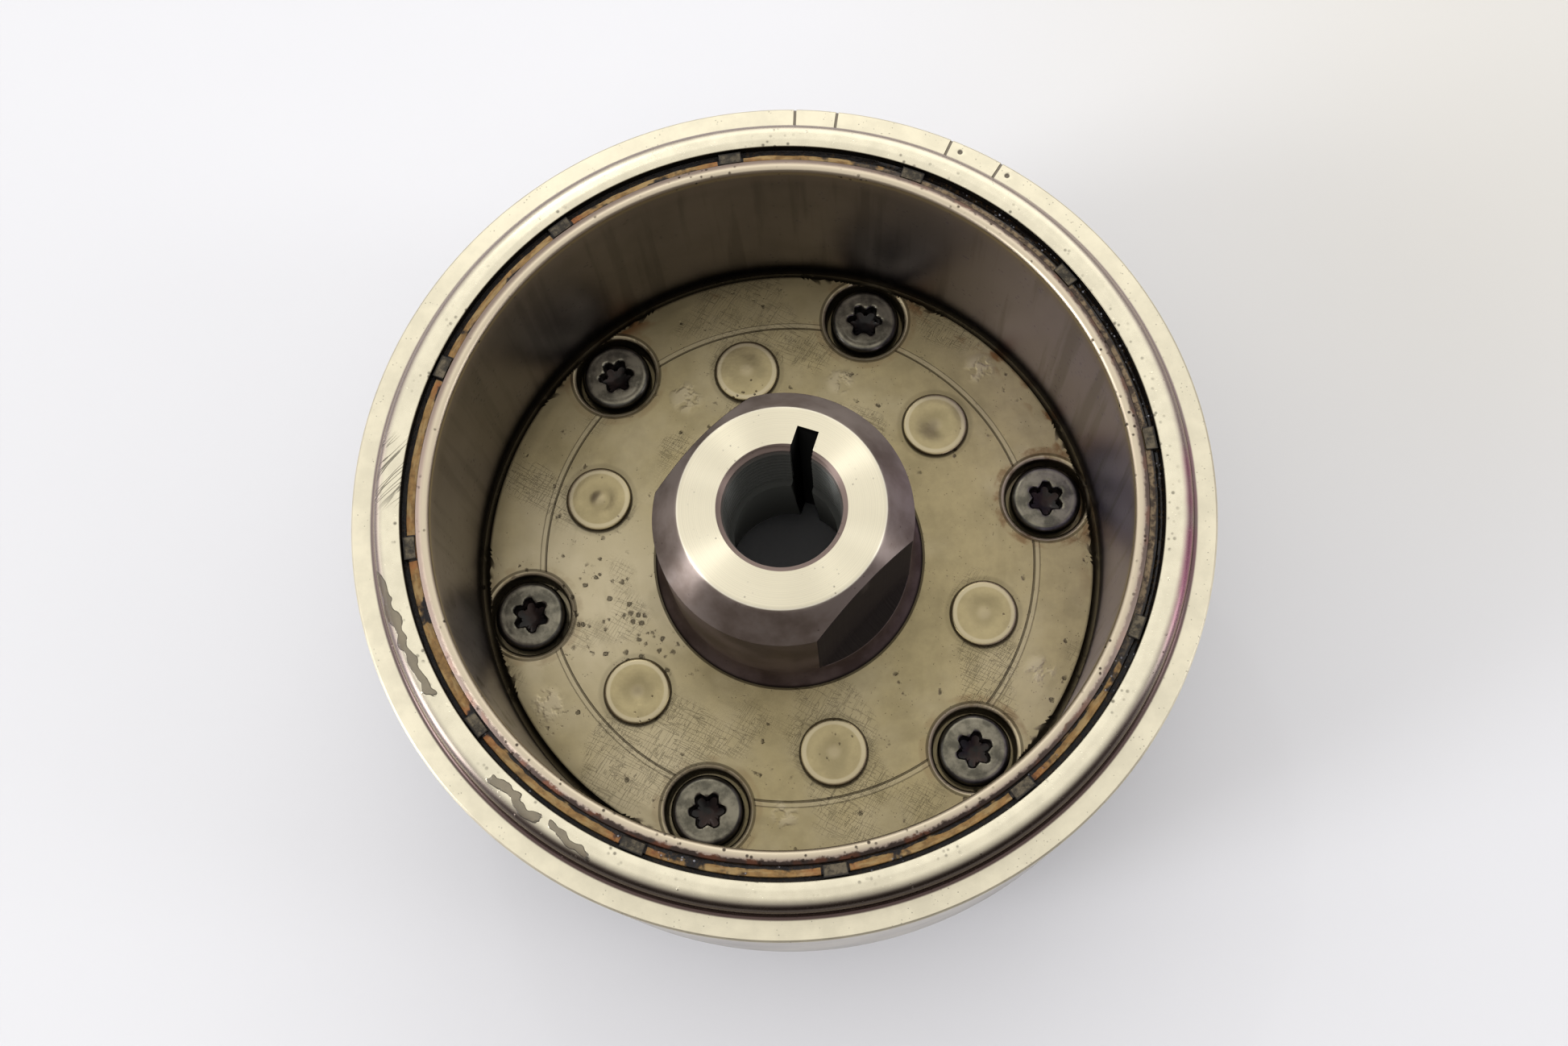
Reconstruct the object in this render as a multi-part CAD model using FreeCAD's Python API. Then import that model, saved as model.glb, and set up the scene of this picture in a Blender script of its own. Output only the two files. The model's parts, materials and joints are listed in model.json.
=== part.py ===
"""Alternator rotor (magneto flywheel) of a motorcycle engine, with its roller starter clutch.

The rotor stands on the clutch's back face, open side up.
Lengths are in millimetres and angles in degrees, measured about +Z from +X.
The radii are stacked from the hub outwards and the heights from the clutch upwards,
so each size below can be changed by itself.
"""
import FreeCAD, Part
import math
import os

# ---- hub: riveted to the cup from behind, bored to fit a tapered crankshaft end
hub_face_r = 16.2        # flat face on the end of the hub
hub_barrel_r = 20.55     # barrel between the cone and the foot
hub_foot_r = 22.6        # foot, where the hub comes through the web
hub_foot_h = 3.2         # height of the coved foot above the web
hub_cone_h = 5.55        # height of the cone between face and barrel
hub_face_drop = 5.1      # the hub's face lies this far below the rim
hub_flats_across = 35.0  # two spanner flats
hub_flats_angle = 128.5
flange_t = 5.0           # hub flange, behind the web
flange_edge = 0.33       # the flange reaches this far beyond the rivets' heads
thread_mouth_r = 10.06   # plain mouth in front of the puller thread, M20 x 1.5
thread_mouth_depth = 2.35
thread_mouth_chamfer = 0.4
thread_lead = 0.5        # cone from the mouth down to the thread
thread_minor_r = 9.19
thread_length = 14.0
taper_large_r = 10.9     # crankshaft taper at the flange's back
taper_per_length = 0.1   # radius lost for each millimetre, a taper of 1 in 5
keyway_w = 3.5
keyway_r = 13.2          # outer end of the keyway
keyway_angle = 63.7

# ---- rivets and screws
fastener_count = 6
rivet_head_r = 5.5
rivet_head_edge = 0.35   # height of the head's edge, below its dome
rivet_head_dome = 0.5
rivet_head_bevel = 0.15
rivet_shank_r = 4.0
rivet_tail_r = 5.0       # countersunk tail, flush with the flange's back
rivet_tail_h = 1.5
rivet_clearance = 6.07   # web between the hub's foot and a rivet's head
rivet_angle = 34.3
screw_r = 3.0            # M6
screw_head_r = 6.0
screw_head_h = 4.2
screw_head_round = 1.0
screw_hole_r = 3.3
screw_tip_recess = 1.8   # the tip stops this far inside the clutch's back face
screw_tip_chamfer = 0.6
screw_angle = 4.5
lobe_tip_r = 2.8         # six-lobe recess, size 30
lobe_root_r = 2.0
lobe_flute_r = 1.2
lobe_depth = 2.4
lobe_cone_h = 0.8        # coned bottom of the recess
counterbore_gap = 0.75   # round the screw's head
counterbore_round = 1.15 # rounded mouth of the counterbore

# ---- liner, magnets and the spacers between them
liner_land = 0.87        # between a counterbore and the liner
liner_t = 0.7
liner_lip_w = 1.47       # the rolled lip reaches this far out over the magnets
liner_lip_top = 3.16     # above the rim
liner_lip_t = 1.2
liner_lip_curl = 0.85    # width and depth of the curve at the lip's inner edge
liner_lip_slope = 0.3    # fall from the lip's crown to its outer edge
liner_lip_edge = 0.35    # height of the rounded outer edge
groove_w = 1.3           # groove in the web that the liner stands in
groove_depth = 1.45
magnet_count = 12
magnet_t = 6.6
magnet_top = 1.0         # above the rim
spacer_w = 3.5
spacer_play = 0.1        # between a spacer and the rings inside and outside it
nib_play = 0.25          # between a nib and the lip and bead
spacer_angle = 0.0
nib_top = 2.3            # the end of a spacer stands up between lip and bead
varnish_top = 2.0
gap_over_magnet = 0.14   # between the liner and the magnets

# ---- cup: the steel yoke that carries the magnets
cup_wall = 5.0
cup_depth = 34.8         # from the flat rim down to the web
web_t = 7.0
rim_land_w = 3.07        # flat ring outside the bead, which carries the timing marks
rim_chamfer = 0.3
bead_top = 2.95          # rolled bead, above the flat rim
bead_overhang = 3.16     # the bead reaches this far in over the magnets
bead_lip_t = 1.6
bead_cove_r = 0.8        # hollow between the flat ring and the bead
bead_shoulder_w = 0.35   # the bead's outer side leans in by this much
bead_shoulder = 2.1      # height of that side's middle above the flat rim
bead_nose_w = 1.1        # rounded inner edge
bead_nose_drop = 0.15
mark_start = 0.2         # the marks start this far out from the hollow
cup_corner_r = 4.0
scribe_w = 0.95          # shallow turned ring in the web
scribe_depth = 0.12
scribe_outside_flange = 1.4
mark_w = 0.35            # timing marks, cut across the flat ring
mark_depth = 0.25
mark_angles = (49.2, 57.0, 73.8, 79.8)
dot_r = 0.45             # punch dots beside the first two marks
dot_angles = (47.6, 55.2)

# ---- starter clutch: outer race, rollers, plungers and springs
clutch_depth = 14.0      # behind the hub's flange
clutch_wall = 4.16       # outside the screws
clutch_web = 1.84        # between the screws and the pilot recess
clutch_chamfer = 1.0
gear_boss_r = 22.0       # the starter gear's boss, which the rollers grip
clutch_bore_gap = 2.0    # between that boss and the outer's bore
roller_count = 3
roller_r = 5.4
roller_bite = 0.4        # how far inside the boss's radius the rollers rest
roller_travel = 4.0
roller_end_gap = 0.25    # at each end, between flange and clutch back
roller_chamfer = 0.4
ramp_angle = 7.0
roller_angle = 34.5
plunger_r = 3.4
plunger_l = 8.0
plunger_wall = 0.8
plunger_floor = 1.5
plunger_end_room = 1.0   # left behind the plunger at the end of its travel
spring_wire_r = 0.35
spring_mean_r = 2.0
spring_turns = 7

# ---- clearances
press_gap = 0.03         # round pieces that are fixed together
run_gap = 0.05           # round pieces that slide
touch_gap = 0.02         # between a roller and its plunger

# ---- what follows from them: radii
rivet_circle_r = hub_foot_r + rivet_clearance + rivet_head_r
flange_r = rivet_circle_r + rivet_head_r + flange_edge
screw_circle_r = flange_r + clutch_web + screw_r
counterbore_r = screw_head_r + counterbore_gap
liner_ri = screw_circle_r + counterbore_r + liner_land
liner_ro = liner_ri + liner_t
magnet_ri = liner_ro + gap_over_magnet
magnet_ro = magnet_ri + magnet_t
cup_ri = magnet_ro + 2 * run_gap
rim_r = cup_ri + cup_wall
bead_ri = cup_ri - bead_overhang
lip_ro = liner_ro + liner_lip_w
clutch_ro = screw_circle_r + screw_r + clutch_wall
clutch_ri = gear_boss_r + clutch_bore_gap
roller_rest_r = gear_boss_r + roller_r - roller_bite

# ---- and heights
flange_z = clutch_depth
web_back_z = flange_z + flange_t
web_z = web_back_z + web_t
rim_z = web_z + cup_depth
hub_face_z = rim_z - hub_face_drop
foot_z = web_z + hub_foot_h
screw_seat_z = web_z - screw_head_h
thread_end_z = hub_face_z - thread_mouth_depth - thread_length
clutch_mid_z = clutch_depth / 2

# ---- and distances along a roller's ramp, from the roller's rest place
plunger_start = roller_r + touch_gap
plunger_end = plunger_start + plunger_l
ramp_bore_end = plunger_end + roller_travel + plunger_end_room


def vec(x, y, z=0.0):
    return FreeCAD.Vector(x, y, z)


UP = vec(0, 0, 1)
RAMP = vec(math.sin(math.radians(ramp_angle)), -math.cos(math.radians(ramp_angle)))


def at_angle(r, angle, z=0.0):
    a = math.radians(angle)
    return vec(r * math.cos(a), r * math.sin(a), z)


def spread(count, first):
    """Angles of pieces spaced evenly round the axis."""
    return [first + i * 360.0 / count for i in range(count)]


def rod(r, low, high, centre=None):
    """Upright cylinder between two heights."""
    centre = centre or vec(0, 0)
    return Part.makeCylinder(r, high - low, vec(centre.x, centre.y, low), UP)


def ring(r_out, r_in, low, high):
    return rod(r_out, low, high).cut(rod(r_in, low - 1, high + 1))


def turned(*path):
    """Solid turned from a closed outline in the XZ plane. A step is the point (r, z) that a line
    goes to, or a pair of such points, the middle and the end of an arc."""
    edges = []
    start = last = vec(path[0][0], 0, path[0][1])
    for step in path[1:]:
        if isinstance(step[0], tuple):
            middle, end = (vec(r, 0, z) for r, z in step)
            edges.append(Part.Arc(last, middle, end).toShape())
        else:
            end = vec(step[0], 0, step[1])
            edges.append(Part.LineSegment(last, end).toShape())
        last = end
    if (last - start).Length > 1e-6:
        edges.append(Part.LineSegment(last, start).toShape())
    return Part.Face(Part.Wire(edges)).revolve(vec(0, 0), UP, 360)


def arc_step(centre, r, start, end):
    """An arc step for turned(): about centre, from one angle to another."""
    spots = []
    for angle in ((start + end) / 2, end):
        a = math.radians(angle)
        spots.append((centre[0] + r * math.cos(a), centre[1] + r * math.sin(a)))
    return tuple(spots)


def moved(shape, place):
    copy = shape.copy()
    copy.translate(place)
    return copy


def turned_round(shape, angle):
    copy = shape.copy()
    copy.rotate(vec(0, 0), UP, angle)
    return copy


def slot(width, r_in, r_out, low, high, angle):
    """Straight radial slot or bar, upright, with parallel sides."""
    box = Part.makeBox(r_out - r_in, width, high - low, vec(r_in, -width / 2, low))
    return turned_round(box, angle)


def save(name, shape):
    shape.exportStep("parts/%s.step" % name)


# ---- the fixed pieces

def rotor_cup():
    cove_z = rim_z + bead_cove_r
    step_r = rim_r - rim_land_w
    neck_r = step_r - bead_cove_r
    crown_r = (neck_r + bead_ri) / 2 + bead_shoulder_w
    nose_z = rim_z + bead_top - bead_nose_drop
    floor_r = liner_ri - groove_w + groove_depth / 2
    cup = turned(
        (hub_foot_r + press_gap, web_back_z),
        (rim_r - cup_corner_r, web_back_z),
        arc_step((rim_r - cup_corner_r, web_back_z + cup_corner_r), cup_corner_r, -90, 0),
        (rim_r, rim_z - rim_chamfer),
        (rim_r - rim_chamfer, rim_z),
        (step_r, rim_z),
        arc_step((step_r, cove_z), bead_cove_r, -90, -180),
        ((neck_r - bead_shoulder_w, rim_z + bead_shoulder), (crown_r, rim_z + bead_top)),
        ((bead_ri + bead_nose_w, rim_z + bead_top - bead_nose_drop / 3), (bead_ri, nose_z)),
        (bead_ri, rim_z + bead_top - bead_lip_t),
        (cup_ri, rim_z + bead_top - bead_lip_t),
        (cup_ri, web_z),
        (liner_ro + press_gap, web_z),
        (liner_ro + press_gap, web_z - groove_depth),
        (floor_r, web_z - groove_depth),
        arc_step((floor_r, web_z), groove_depth, -90, -150),
        (liner_ri - groove_w, web_z),
        (hub_foot_r + press_gap, web_z),
    )
    scribe_r = flange_r + scribe_outside_flange
    cup = cup.cut(ring(scribe_r + scribe_w, scribe_r, web_z - scribe_depth, web_z + 1))
    for angle in spread(fastener_count, screw_angle):
        cup = cup.cut(moved(counterbore(), at_angle(screw_circle_r, angle)))
    for angle in spread(fastener_count, rivet_angle):
        spot = at_angle(rivet_circle_r, angle)
        cup = cup.cut(rod(rivet_shank_r + press_gap, web_back_z - 1, web_z + 1, spot))
    for angle in mark_angles:
        mark = slot(mark_w, step_r + mark_start, rim_r + 1, rim_z - mark_depth, rim_z + 1, angle)
        cup = cup.cut(mark)
    for angle in dot_angles:
        spot = at_angle(rim_r - rim_land_w / 2, angle, rim_z + dot_r / 2)
        cup = cup.cut(Part.makeSphere(dot_r, spot))
    return cup


def counterbore():
    """Cutter for one screw: the hole, the counterbore and its rounded mouth."""
    mouth_r = counterbore_r + counterbore_round
    return turned(
        (0, web_back_z - 1),
        (screw_hole_r, web_back_z - 1),
        (screw_hole_r, screw_seat_z),
        (counterbore_r, screw_seat_z),
        (counterbore_r, web_z - counterbore_round),
        arc_step((mouth_r, web_z - counterbore_round), counterbore_round, 180, 90),
        (mouth_r, web_z + 1),
        (0, web_z + 1),
    )


def hub():
    taper_end_r = taper_large_r - taper_per_length * (thread_end_z - flange_z)
    cove_r = hub_foot_r - hub_barrel_r
    body = turned(
        (taper_large_r, flange_z),
        (flange_r, flange_z),
        (flange_r, web_back_z),
        (hub_foot_r, web_back_z),
        (hub_foot_r, foot_z - cove_r),
        arc_step((hub_foot_r, foot_z), cove_r, -90, -180),
        (hub_barrel_r, hub_face_z - hub_cone_h),
        (hub_face_r, hub_face_z),
        (thread_mouth_r + thread_mouth_chamfer, hub_face_z),
        (thread_mouth_r, hub_face_z - thread_mouth_chamfer),
        (thread_mouth_r, hub_face_z - thread_mouth_depth),
        (thread_minor_r, hub_face_z - thread_mouth_depth - thread_lead),
        (thread_minor_r, thread_end_z),
        (taper_end_r, thread_end_z),
    )
    body = body.cut(slot(keyway_w, 0, keyway_r, flange_z - 1, hub_face_z + 1, keyway_angle))
    for side in (0, 180):
        flat = slot(4 * hub_barrel_r, hub_flats_across / 2, 2 * hub_barrel_r, foot_z, rim_z,
                    hub_flats_angle + side)
        body = body.cut(flat)
    for angle in spread(fastener_count, rivet_angle):
        spot = at_angle(rivet_circle_r, angle)
        hole = rod(rivet_shank_r + press_gap, flange_z - 1, web_back_z + 1, spot)
        body = body.cut(hole).cut(moved(rivet_seat(), spot))
    return body


def rivet_seat():
    """Cutter for the countersunk seat of a rivet's tail."""
    return Part.makeCone(rivet_tail_r + press_gap, rivet_shank_r + press_gap, rivet_tail_h,
                         vec(0, 0, flange_z), UP)


def rivet():
    head_z = web_z + rivet_head_edge
    dome_r = (rivet_head_r ** 2 + rivet_head_dome ** 2) / (2 * rivet_head_dome)
    dome_centre = (0, head_z + rivet_head_dome - dome_r)
    dome_edge = math.degrees(math.acos(rivet_head_r / dome_r))
    return turned(
        (0, flange_z),
        (rivet_tail_r, flange_z),
        (rivet_shank_r, flange_z + rivet_tail_h),
        (rivet_shank_r, web_z),
        (rivet_head_r - rivet_head_bevel, web_z),
        (rivet_head_r, head_z),
        arc_step(dome_centre, dome_r, dome_edge, 90),
    )


def screw():
    flutes = rod(lobe_tip_r, web_z - lobe_depth, web_z + 1)
    for angle in spread(6, 30):
        flute = rod(lobe_flute_r, web_z - 2 * lobe_depth, web_z + 2,
                    at_angle(lobe_root_r + lobe_flute_r, angle))
        flutes = flutes.cut(flute)
    cone_z = web_z - lobe_depth - lobe_cone_h
    cone = Part.makeCone(0, lobe_root_r, lobe_cone_h, vec(0, 0, cone_z), UP)
    body = turned(
        (0, screw_tip_recess),
        (screw_r - screw_tip_chamfer, screw_tip_recess),
        (screw_r, screw_tip_recess + screw_tip_chamfer),
        (screw_r, screw_seat_z),
        (screw_head_r, screw_seat_z),
        (screw_head_r, web_z - screw_head_round),
        arc_step((screw_head_r - screw_head_round, web_z - screw_head_round), screw_head_round, 0, 90),
        (0, web_z),
    )
    return body.cut(flutes).cut(cone)


def liner():
    lip_z = rim_z + liner_lip_top
    under_z = lip_z - liner_lip_t
    curl = liner_lip_curl
    edge_z = lip_z - liner_lip_slope
    return turned(
        (liner_ri, web_z - groove_depth),
        (liner_ri, lip_z - curl),
        arc_step((liner_ri + curl, lip_z - curl), curl, 180, 90),
        (lip_ro - liner_lip_edge, edge_z),
        arc_step((lip_ro - liner_lip_edge, edge_z - liner_lip_edge), liner_lip_edge, 90, 0),
        (lip_ro, under_z),
        (liner_ro, under_z),
        (liner_ro, web_z - groove_depth),
    )


def magnet():
    """One arc magnet between two spacers, with radial sides."""
    half = math.asin((spacer_w / 2 + run_gap) / magnet_ri)
    pitch = 360.0 / magnet_count
    width = pitch - 2 * math.degrees(half)
    height = cup_depth + magnet_top
    block = Part.makeCylinder(magnet_ro, height, vec(0, 0, web_z), UP, width)
    block = block.cut(rod(magnet_ri, web_z - 1, web_z + height + 1))
    return turned_round(block, pitch / 2 - width / 2)


def spacer():
    """Strip between two magnets; its nib shows between the liner's lip and the bead."""
    body = slot(spacer_w, magnet_ri + spacer_play, magnet_ro - spacer_play, web_z, rim_z + magnet_top, 0)
    nib = slot(spacer_w, lip_ro + nib_play, bead_ri - nib_play, rim_z, rim_z + nib_top, 0)
    return body.fuse(nib).removeSplitter()


def varnish():
    """Impregnating varnish that fills the ring between lip and bead, parted by the nibs."""
    fill = ring(bead_ri - 2 * run_gap, lip_ro + 2 * run_gap, rim_z + magnet_top, rim_z + varnish_top)
    for angle in spread(magnet_count, spacer_angle):
        fill = fill.cut(slot(spacer_w + 2 * run_gap, lip_ro - 1, bead_ri + 1, rim_z, rim_z + 5, angle))
    return fill


# ---- the starter clutch

def along_ramp(distance, z=0.0):
    """Point on the ramp's line, measured from the roller's rest place, for the roller at angle 0."""
    return vec(roller_rest_r + RAMP.x * distance, RAMP.y * distance, z)


def ramp_rod(r, start, end):
    """Cylinder along the ramp's line at the clutch's mid height."""
    return Part.makeCylinder(r, end - start, along_ramp(start, clutch_mid_z), RAMP)


def clutch_outer():
    body = turned(
        (clutch_ri + clutch_chamfer, 0),
        (clutch_ro - clutch_chamfer, 0),
        (clutch_ro, clutch_chamfer),
        (clutch_ro, web_back_z),
        (flange_r + press_gap, web_back_z),
        (flange_r + press_gap, flange_z - press_gap),
        (clutch_ri, flange_z - press_gap),
        (clutch_ri, clutch_chamfer),
    )
    for angle in spread(fastener_count, screw_angle):
        spot = at_angle(screw_circle_r, angle)
        body = body.cut(rod(screw_r + press_gap, -1, web_back_z + 1, spot))
    for angle in spread(roller_count, roller_angle):
        body = body.cut(turned_round(roller_pocket(), angle))
    return body


def roller_pocket():
    """Cutter for one roller's pocket, its ramp and the plunger's blind hole."""
    r = roller_r + run_gap
    side = vec(-RAMP.y, RAMP.x) * r
    near, far = along_ramp(0, -1), along_ramp(roller_travel, -1)
    outline = Part.makePolygon([near + side, far + side, far - side, near - side, near + side])
    pocket = Part.Face(outline).extrude(UP * (flange_z + 2))
    for end in (near, far):
        pocket = pocket.fuse(rod(r, -1, flange_z + 1, end))
    return pocket.fuse(ramp_rod(plunger_r + run_gap, 0, ramp_bore_end))


def roller():
    body = rod(roller_r, roller_end_gap, flange_z - roller_end_gap - press_gap, along_ramp(0))
    ends = [e for e in body.Edges if e.Curve.TypeId == "Part::GeomCircle"]
    return body.makeChamfer(roller_chamfer, ends)


def plunger():
    """Cup that the spring sits in, with its closed end against the roller."""
    shell = ramp_rod(plunger_r, plunger_start, plunger_end)
    hollow = ramp_rod(plunger_r - plunger_wall, plunger_start + plunger_floor, plunger_end + 1)
    return shell.cut(hollow)


def spring():
    start = plunger_start + plunger_floor
    length = ramp_bore_end - start
    pitch = (length - 2 * spring_wire_r) / spring_turns
    helix = Part.makeHelix(pitch, pitch * spring_turns, spring_mean_r)
    wire = Part.Wire([Part.Edge(Part.Circle(vec(spring_mean_r, 0), vec(0, 1, 0), spring_wire_r))])
    coil = Part.Wire(helix.Edges).makePipeShell([wire], True, True)
    coil.translate(vec(0, 0, spring_wire_r))
    along = FreeCAD.Placement(along_ramp(start, clutch_mid_z), FreeCAD.Rotation(UP, RAMP))
    coil.Placement = along.multiply(coil.Placement)
    return coil


def main():
    os.makedirs("parts", exist_ok=True)
    save("rotor_cup", rotor_cup())
    save("hub", hub())
    save("liner_sleeve", liner())
    save("varnish_fill", varnish())
    save("clutch_outer", clutch_outer())
    fixed = (("hub_rivet", rivet(), fastener_count, rivet_angle, rivet_circle_r),
             ("clutch_screw", screw(), fastener_count, screw_angle, screw_circle_r),
             ("magnet", magnet(), magnet_count, spacer_angle, 0),
             ("spacer", spacer(), magnet_count, spacer_angle, 0))
    clutch = (("roller", roller(), roller_count, roller_angle, 0),
              ("plunger", plunger(), roller_count, roller_angle, 0),
              ("spring", spring(), roller_count, roller_angle, 0))
    for name, shape, count, first, r in fixed + clutch:
        for i, angle in enumerate(spread(count, first)):
            copy = turned_round(moved(shape, vec(r, 0)), angle)
            save("%s_%02d" % (name, i + 1), copy)
    print("outside diameter %.2f, height %.2f" % (2 * rim_r, rim_z + liner_lip_top))
    print("screws on %.2f, rivets on %.2f" % (2 * screw_circle_r, 2 * rivet_circle_r))


main()
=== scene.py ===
"""Looks of the alternator rotor: turned steel, varnished magnet ring, screws, rivets and starter clutch.

New pieces are grids worked out with numpy in millimetres and turned to metres when the mesh is made.
A height is measured along the rotor's axis, a radius from it, an angle about it from +X.
"""

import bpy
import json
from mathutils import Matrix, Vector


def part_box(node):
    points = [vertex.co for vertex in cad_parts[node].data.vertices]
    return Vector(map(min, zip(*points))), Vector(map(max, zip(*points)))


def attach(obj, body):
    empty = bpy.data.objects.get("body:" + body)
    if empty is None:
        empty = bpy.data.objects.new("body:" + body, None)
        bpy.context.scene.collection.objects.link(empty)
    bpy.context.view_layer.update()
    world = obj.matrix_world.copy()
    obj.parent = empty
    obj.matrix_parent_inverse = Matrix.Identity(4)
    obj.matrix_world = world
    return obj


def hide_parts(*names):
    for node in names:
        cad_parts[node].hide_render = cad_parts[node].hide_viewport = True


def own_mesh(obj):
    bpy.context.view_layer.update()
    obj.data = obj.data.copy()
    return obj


bl_info = {
    "name": "Alternator rotor",
    "version": (1, 0, 0),
    "blender": (4, 5, 0),
    "location": "3D View > Sidebar > Rotor",
    "description": "Builds the surfaces and finishes of an alternator rotor round its packed CAD model",
    "category": "Object",
}

import json
import math

import bpy
import numpy as np
from bpy.props import FloatProperty, FloatVectorProperty, PointerProperty
from mathutils import Matrix, Vector

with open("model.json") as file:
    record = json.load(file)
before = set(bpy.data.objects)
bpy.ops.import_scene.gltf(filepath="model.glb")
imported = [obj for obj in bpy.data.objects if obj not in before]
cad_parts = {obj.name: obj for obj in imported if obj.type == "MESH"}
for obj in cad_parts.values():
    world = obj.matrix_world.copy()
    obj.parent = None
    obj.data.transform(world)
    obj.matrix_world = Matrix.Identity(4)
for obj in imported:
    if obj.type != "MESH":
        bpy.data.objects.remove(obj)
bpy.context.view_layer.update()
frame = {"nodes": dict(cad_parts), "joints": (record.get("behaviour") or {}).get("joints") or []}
NODES = frame["nodes"]
JOINTS = {joint["name"]: joint for joint in frame["joints"]}
MM = 1000.0


def cad_size(node):
    """A node's largest radius from the rotor's axis, its lowest and its highest point, in metres."""
    low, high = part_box(node)
    reach = max(-low.x, high.x, -low.y, high.y)
    return reach, low.z, high.z


CUP_R, CUP_LOW, CUP_HIGH = cad_size("rotor_cup")
LINER_R, LINER_LOW, LINER_HIGH = cad_size("liner_sleeve")
FLANGE_R, FLANGE_LOW, HUB_HIGH = cad_size("hub")
VARNISH_R, VARNISH_LOW, VARNISH_HIGH = cad_size("varnish_fill")
CLUTCH_R = cad_size("clutch_outer")[0]

# Fixed sizes in millimetres, and angles in degrees.
CUP_WEB = 26.0  # height of the web's face
HUB_HOLE, WEB_START = 22.63, 26.0  # the web's hole, and where its screw cells begin
SEAT_DEPTH = 4.2  # depth of a counterbore
GROOVE_IN, GROOVE_OUT, GROOVE_DEPTH = 51.16, 53.19, 1.45  # groove in the web for the liner
MARKS, MARK_HALF, MARK_DEPTH = (49.2, 57.0, 73.8, 79.8), 0.155, 0.25  # timing lines in the rim
DOTS, DOT_HALF, DOT_R, DOT_DEPTH = (47.6, 55.2), 0.42, 0.42, 0.22  # punch dots beside them
LINER_IN, LINER_WALL = 52.46, 0.7
GAP_R, GAP_ALONG = 56.05, (-0.115, -0.164)  # gap beside the bead, and its shift along x and y
FLARE, FLAT_RUN_OUT = 3.2, 3.2  # heights of the hub's flare, and of the curve that ends a flat
THREAD_TOP, THREAD_END, THREAD_DEPTH = 2.35, 16.35, 0.78  # below the hub's face, and its depth
HEAD_R, HEAD_FLAT_R, SHANK_R = 6.0, 4.75, 3.0  # clutch screw
RIVET_R, RIVET_SHANK_R = 5.5, 4.0
CLUTCH_MIDDLE = 7.0  # height of the plungers' and springs' axes
PLUNGER_AWAY, PLUNGER_FLOOR = 5.42, 1.5  # from the roller's middle, and the cup's thickness
SPRING_LENGTH, ROLLER_TRAVEL = 11.5, 4.0


# ---- settings -------------------------------------------------------------------------------

def length(name, default, about):
    return FloatProperty(name=name, description=about, default=default, min=0.0,
                         unit="LENGTH", subtype="DISTANCE", precision=5)


def turn(name, default, about):
    return FloatProperty(name=name, description=about, default=math.radians(default),
                         unit="ROTATION", subtype="ANGLE")


def tint(name, default, about):
    return FloatVectorProperty(name=name, description=about, default=default, size=3,
                               min=0.0, max=1.0, subtype="COLOR")


class CupSizes(bpy.types.PropertyGroup):
    rim_height: length("Rim height", CUP_HIGH - 0.00295, "Height of the flat timing ring")
    web_height: length("Web height", CUP_WEB / MM, "Height of the web's face inside the cup")
    wall: length("Wall", 0.005, "Thickness of the cup's wall")
    land: length("Timing ring", 0.00307, "Width of the flat ring outside the bead")
    bead_reach: length("Bead reach", 0.00316, "How far the rolled bead reaches over the magnets")
    screw_circle: length("Screw circle radius", 0.04484, "Radius of the circle the screws stand on")
    counterbore: length("Counterbore radius", 0.00675, "Radius of a screw's counterbore")
    rivet_circle: length("Rivet circle radius", 0.03417, "Radius of the circle the rivets stand on")
    first_screw: turn("First screw", 4.5, "Angle of the first screw")
    first_rivet: turn("First rivet", 34.3, "Angle of the first rivet")


class HubSizes(bpy.types.PropertyGroup):
    face: length("Face radius", 0.0162, "Outer radius of the hub's flat face")
    barrel: length("Barrel radius", 0.02055, "Radius of the barrel below the cone")
    foot: length("Foot radius", 0.0226, "Radius where the hub meets the web")
    cone_drop: length("Cone drop", 0.00555, "Height of the cone below the face")
    flats: length("Across flats", 0.035, "Distance between the two spanner flats")
    flats_turn: turn("Flats angle", 128.5, "Direction of a spanner flat")
    mouth: length("Mouth radius", 0.01006, "Radius of the bore's mouth")
    thread_minor: length("Thread radius", 0.00919, "Minor radius of the puller thread")
    thread_pitch: length("Thread pitch", 0.0015, "Pitch of the puller thread")
    taper_end: length("Taper radius", 0.0109, "Radius of the crankshaft taper at the back")
    key_width: length("Keyway width", 0.0035, "Width of the keyway")
    key_reach: length("Keyway reach", 0.0132, "Distance of the keyway's end from the axis")
    key_turn: turn("Keyway angle", 63.7, "Direction of the keyway")


class FinishColours(bpy.types.PropertyGroup):
    steel: tint("Steel", (0.71, 0.655, 0.495), "Oil-tinted steel of the rim and hub")
    web: tint("Web", (0.405, 0.335, 0.18), "Olive tan of the web")
    liner: tint("Liner", (0.225, 0.20, 0.218), "Stainless liner")
    varnish: tint("Varnish", (0.29, 0.165, 0.052), "Baked varnish over the magnets")
    grease: tint("Grease", (0.012, 0.008, 0.006), "Burnt oil and grease")
    oxide: tint("Black oxide", (0.04, 0.037, 0.032), "Black oxide of the screws")
    clutch: tint("Clutch steel", (0.36, 0.35, 0.33), "Hardened steel of the starter clutch")


class StageSettings(bpy.types.PropertyGroup):
    lens: FloatProperty(name="Lens", description="Focal length on 36 mm film", default=39.47)
    camera_back: length("Camera back", 0.07476, "How far the camera stands to the front of the axis")
    camera_up: length("Camera height", 0.24693, "Height of the camera above the rim")
    aim_back: length("Aim back", 0.00407, "How far the aim point lies to the front of the axis")
    roll: turn("Roll", -8.445, "Turn of the camera about its view")
    floor: tint("Floor", (0.73, 0.735, 0.75), "Pale table top")


# ---- shapes ---------------------------------------------------------------------------------

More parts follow.
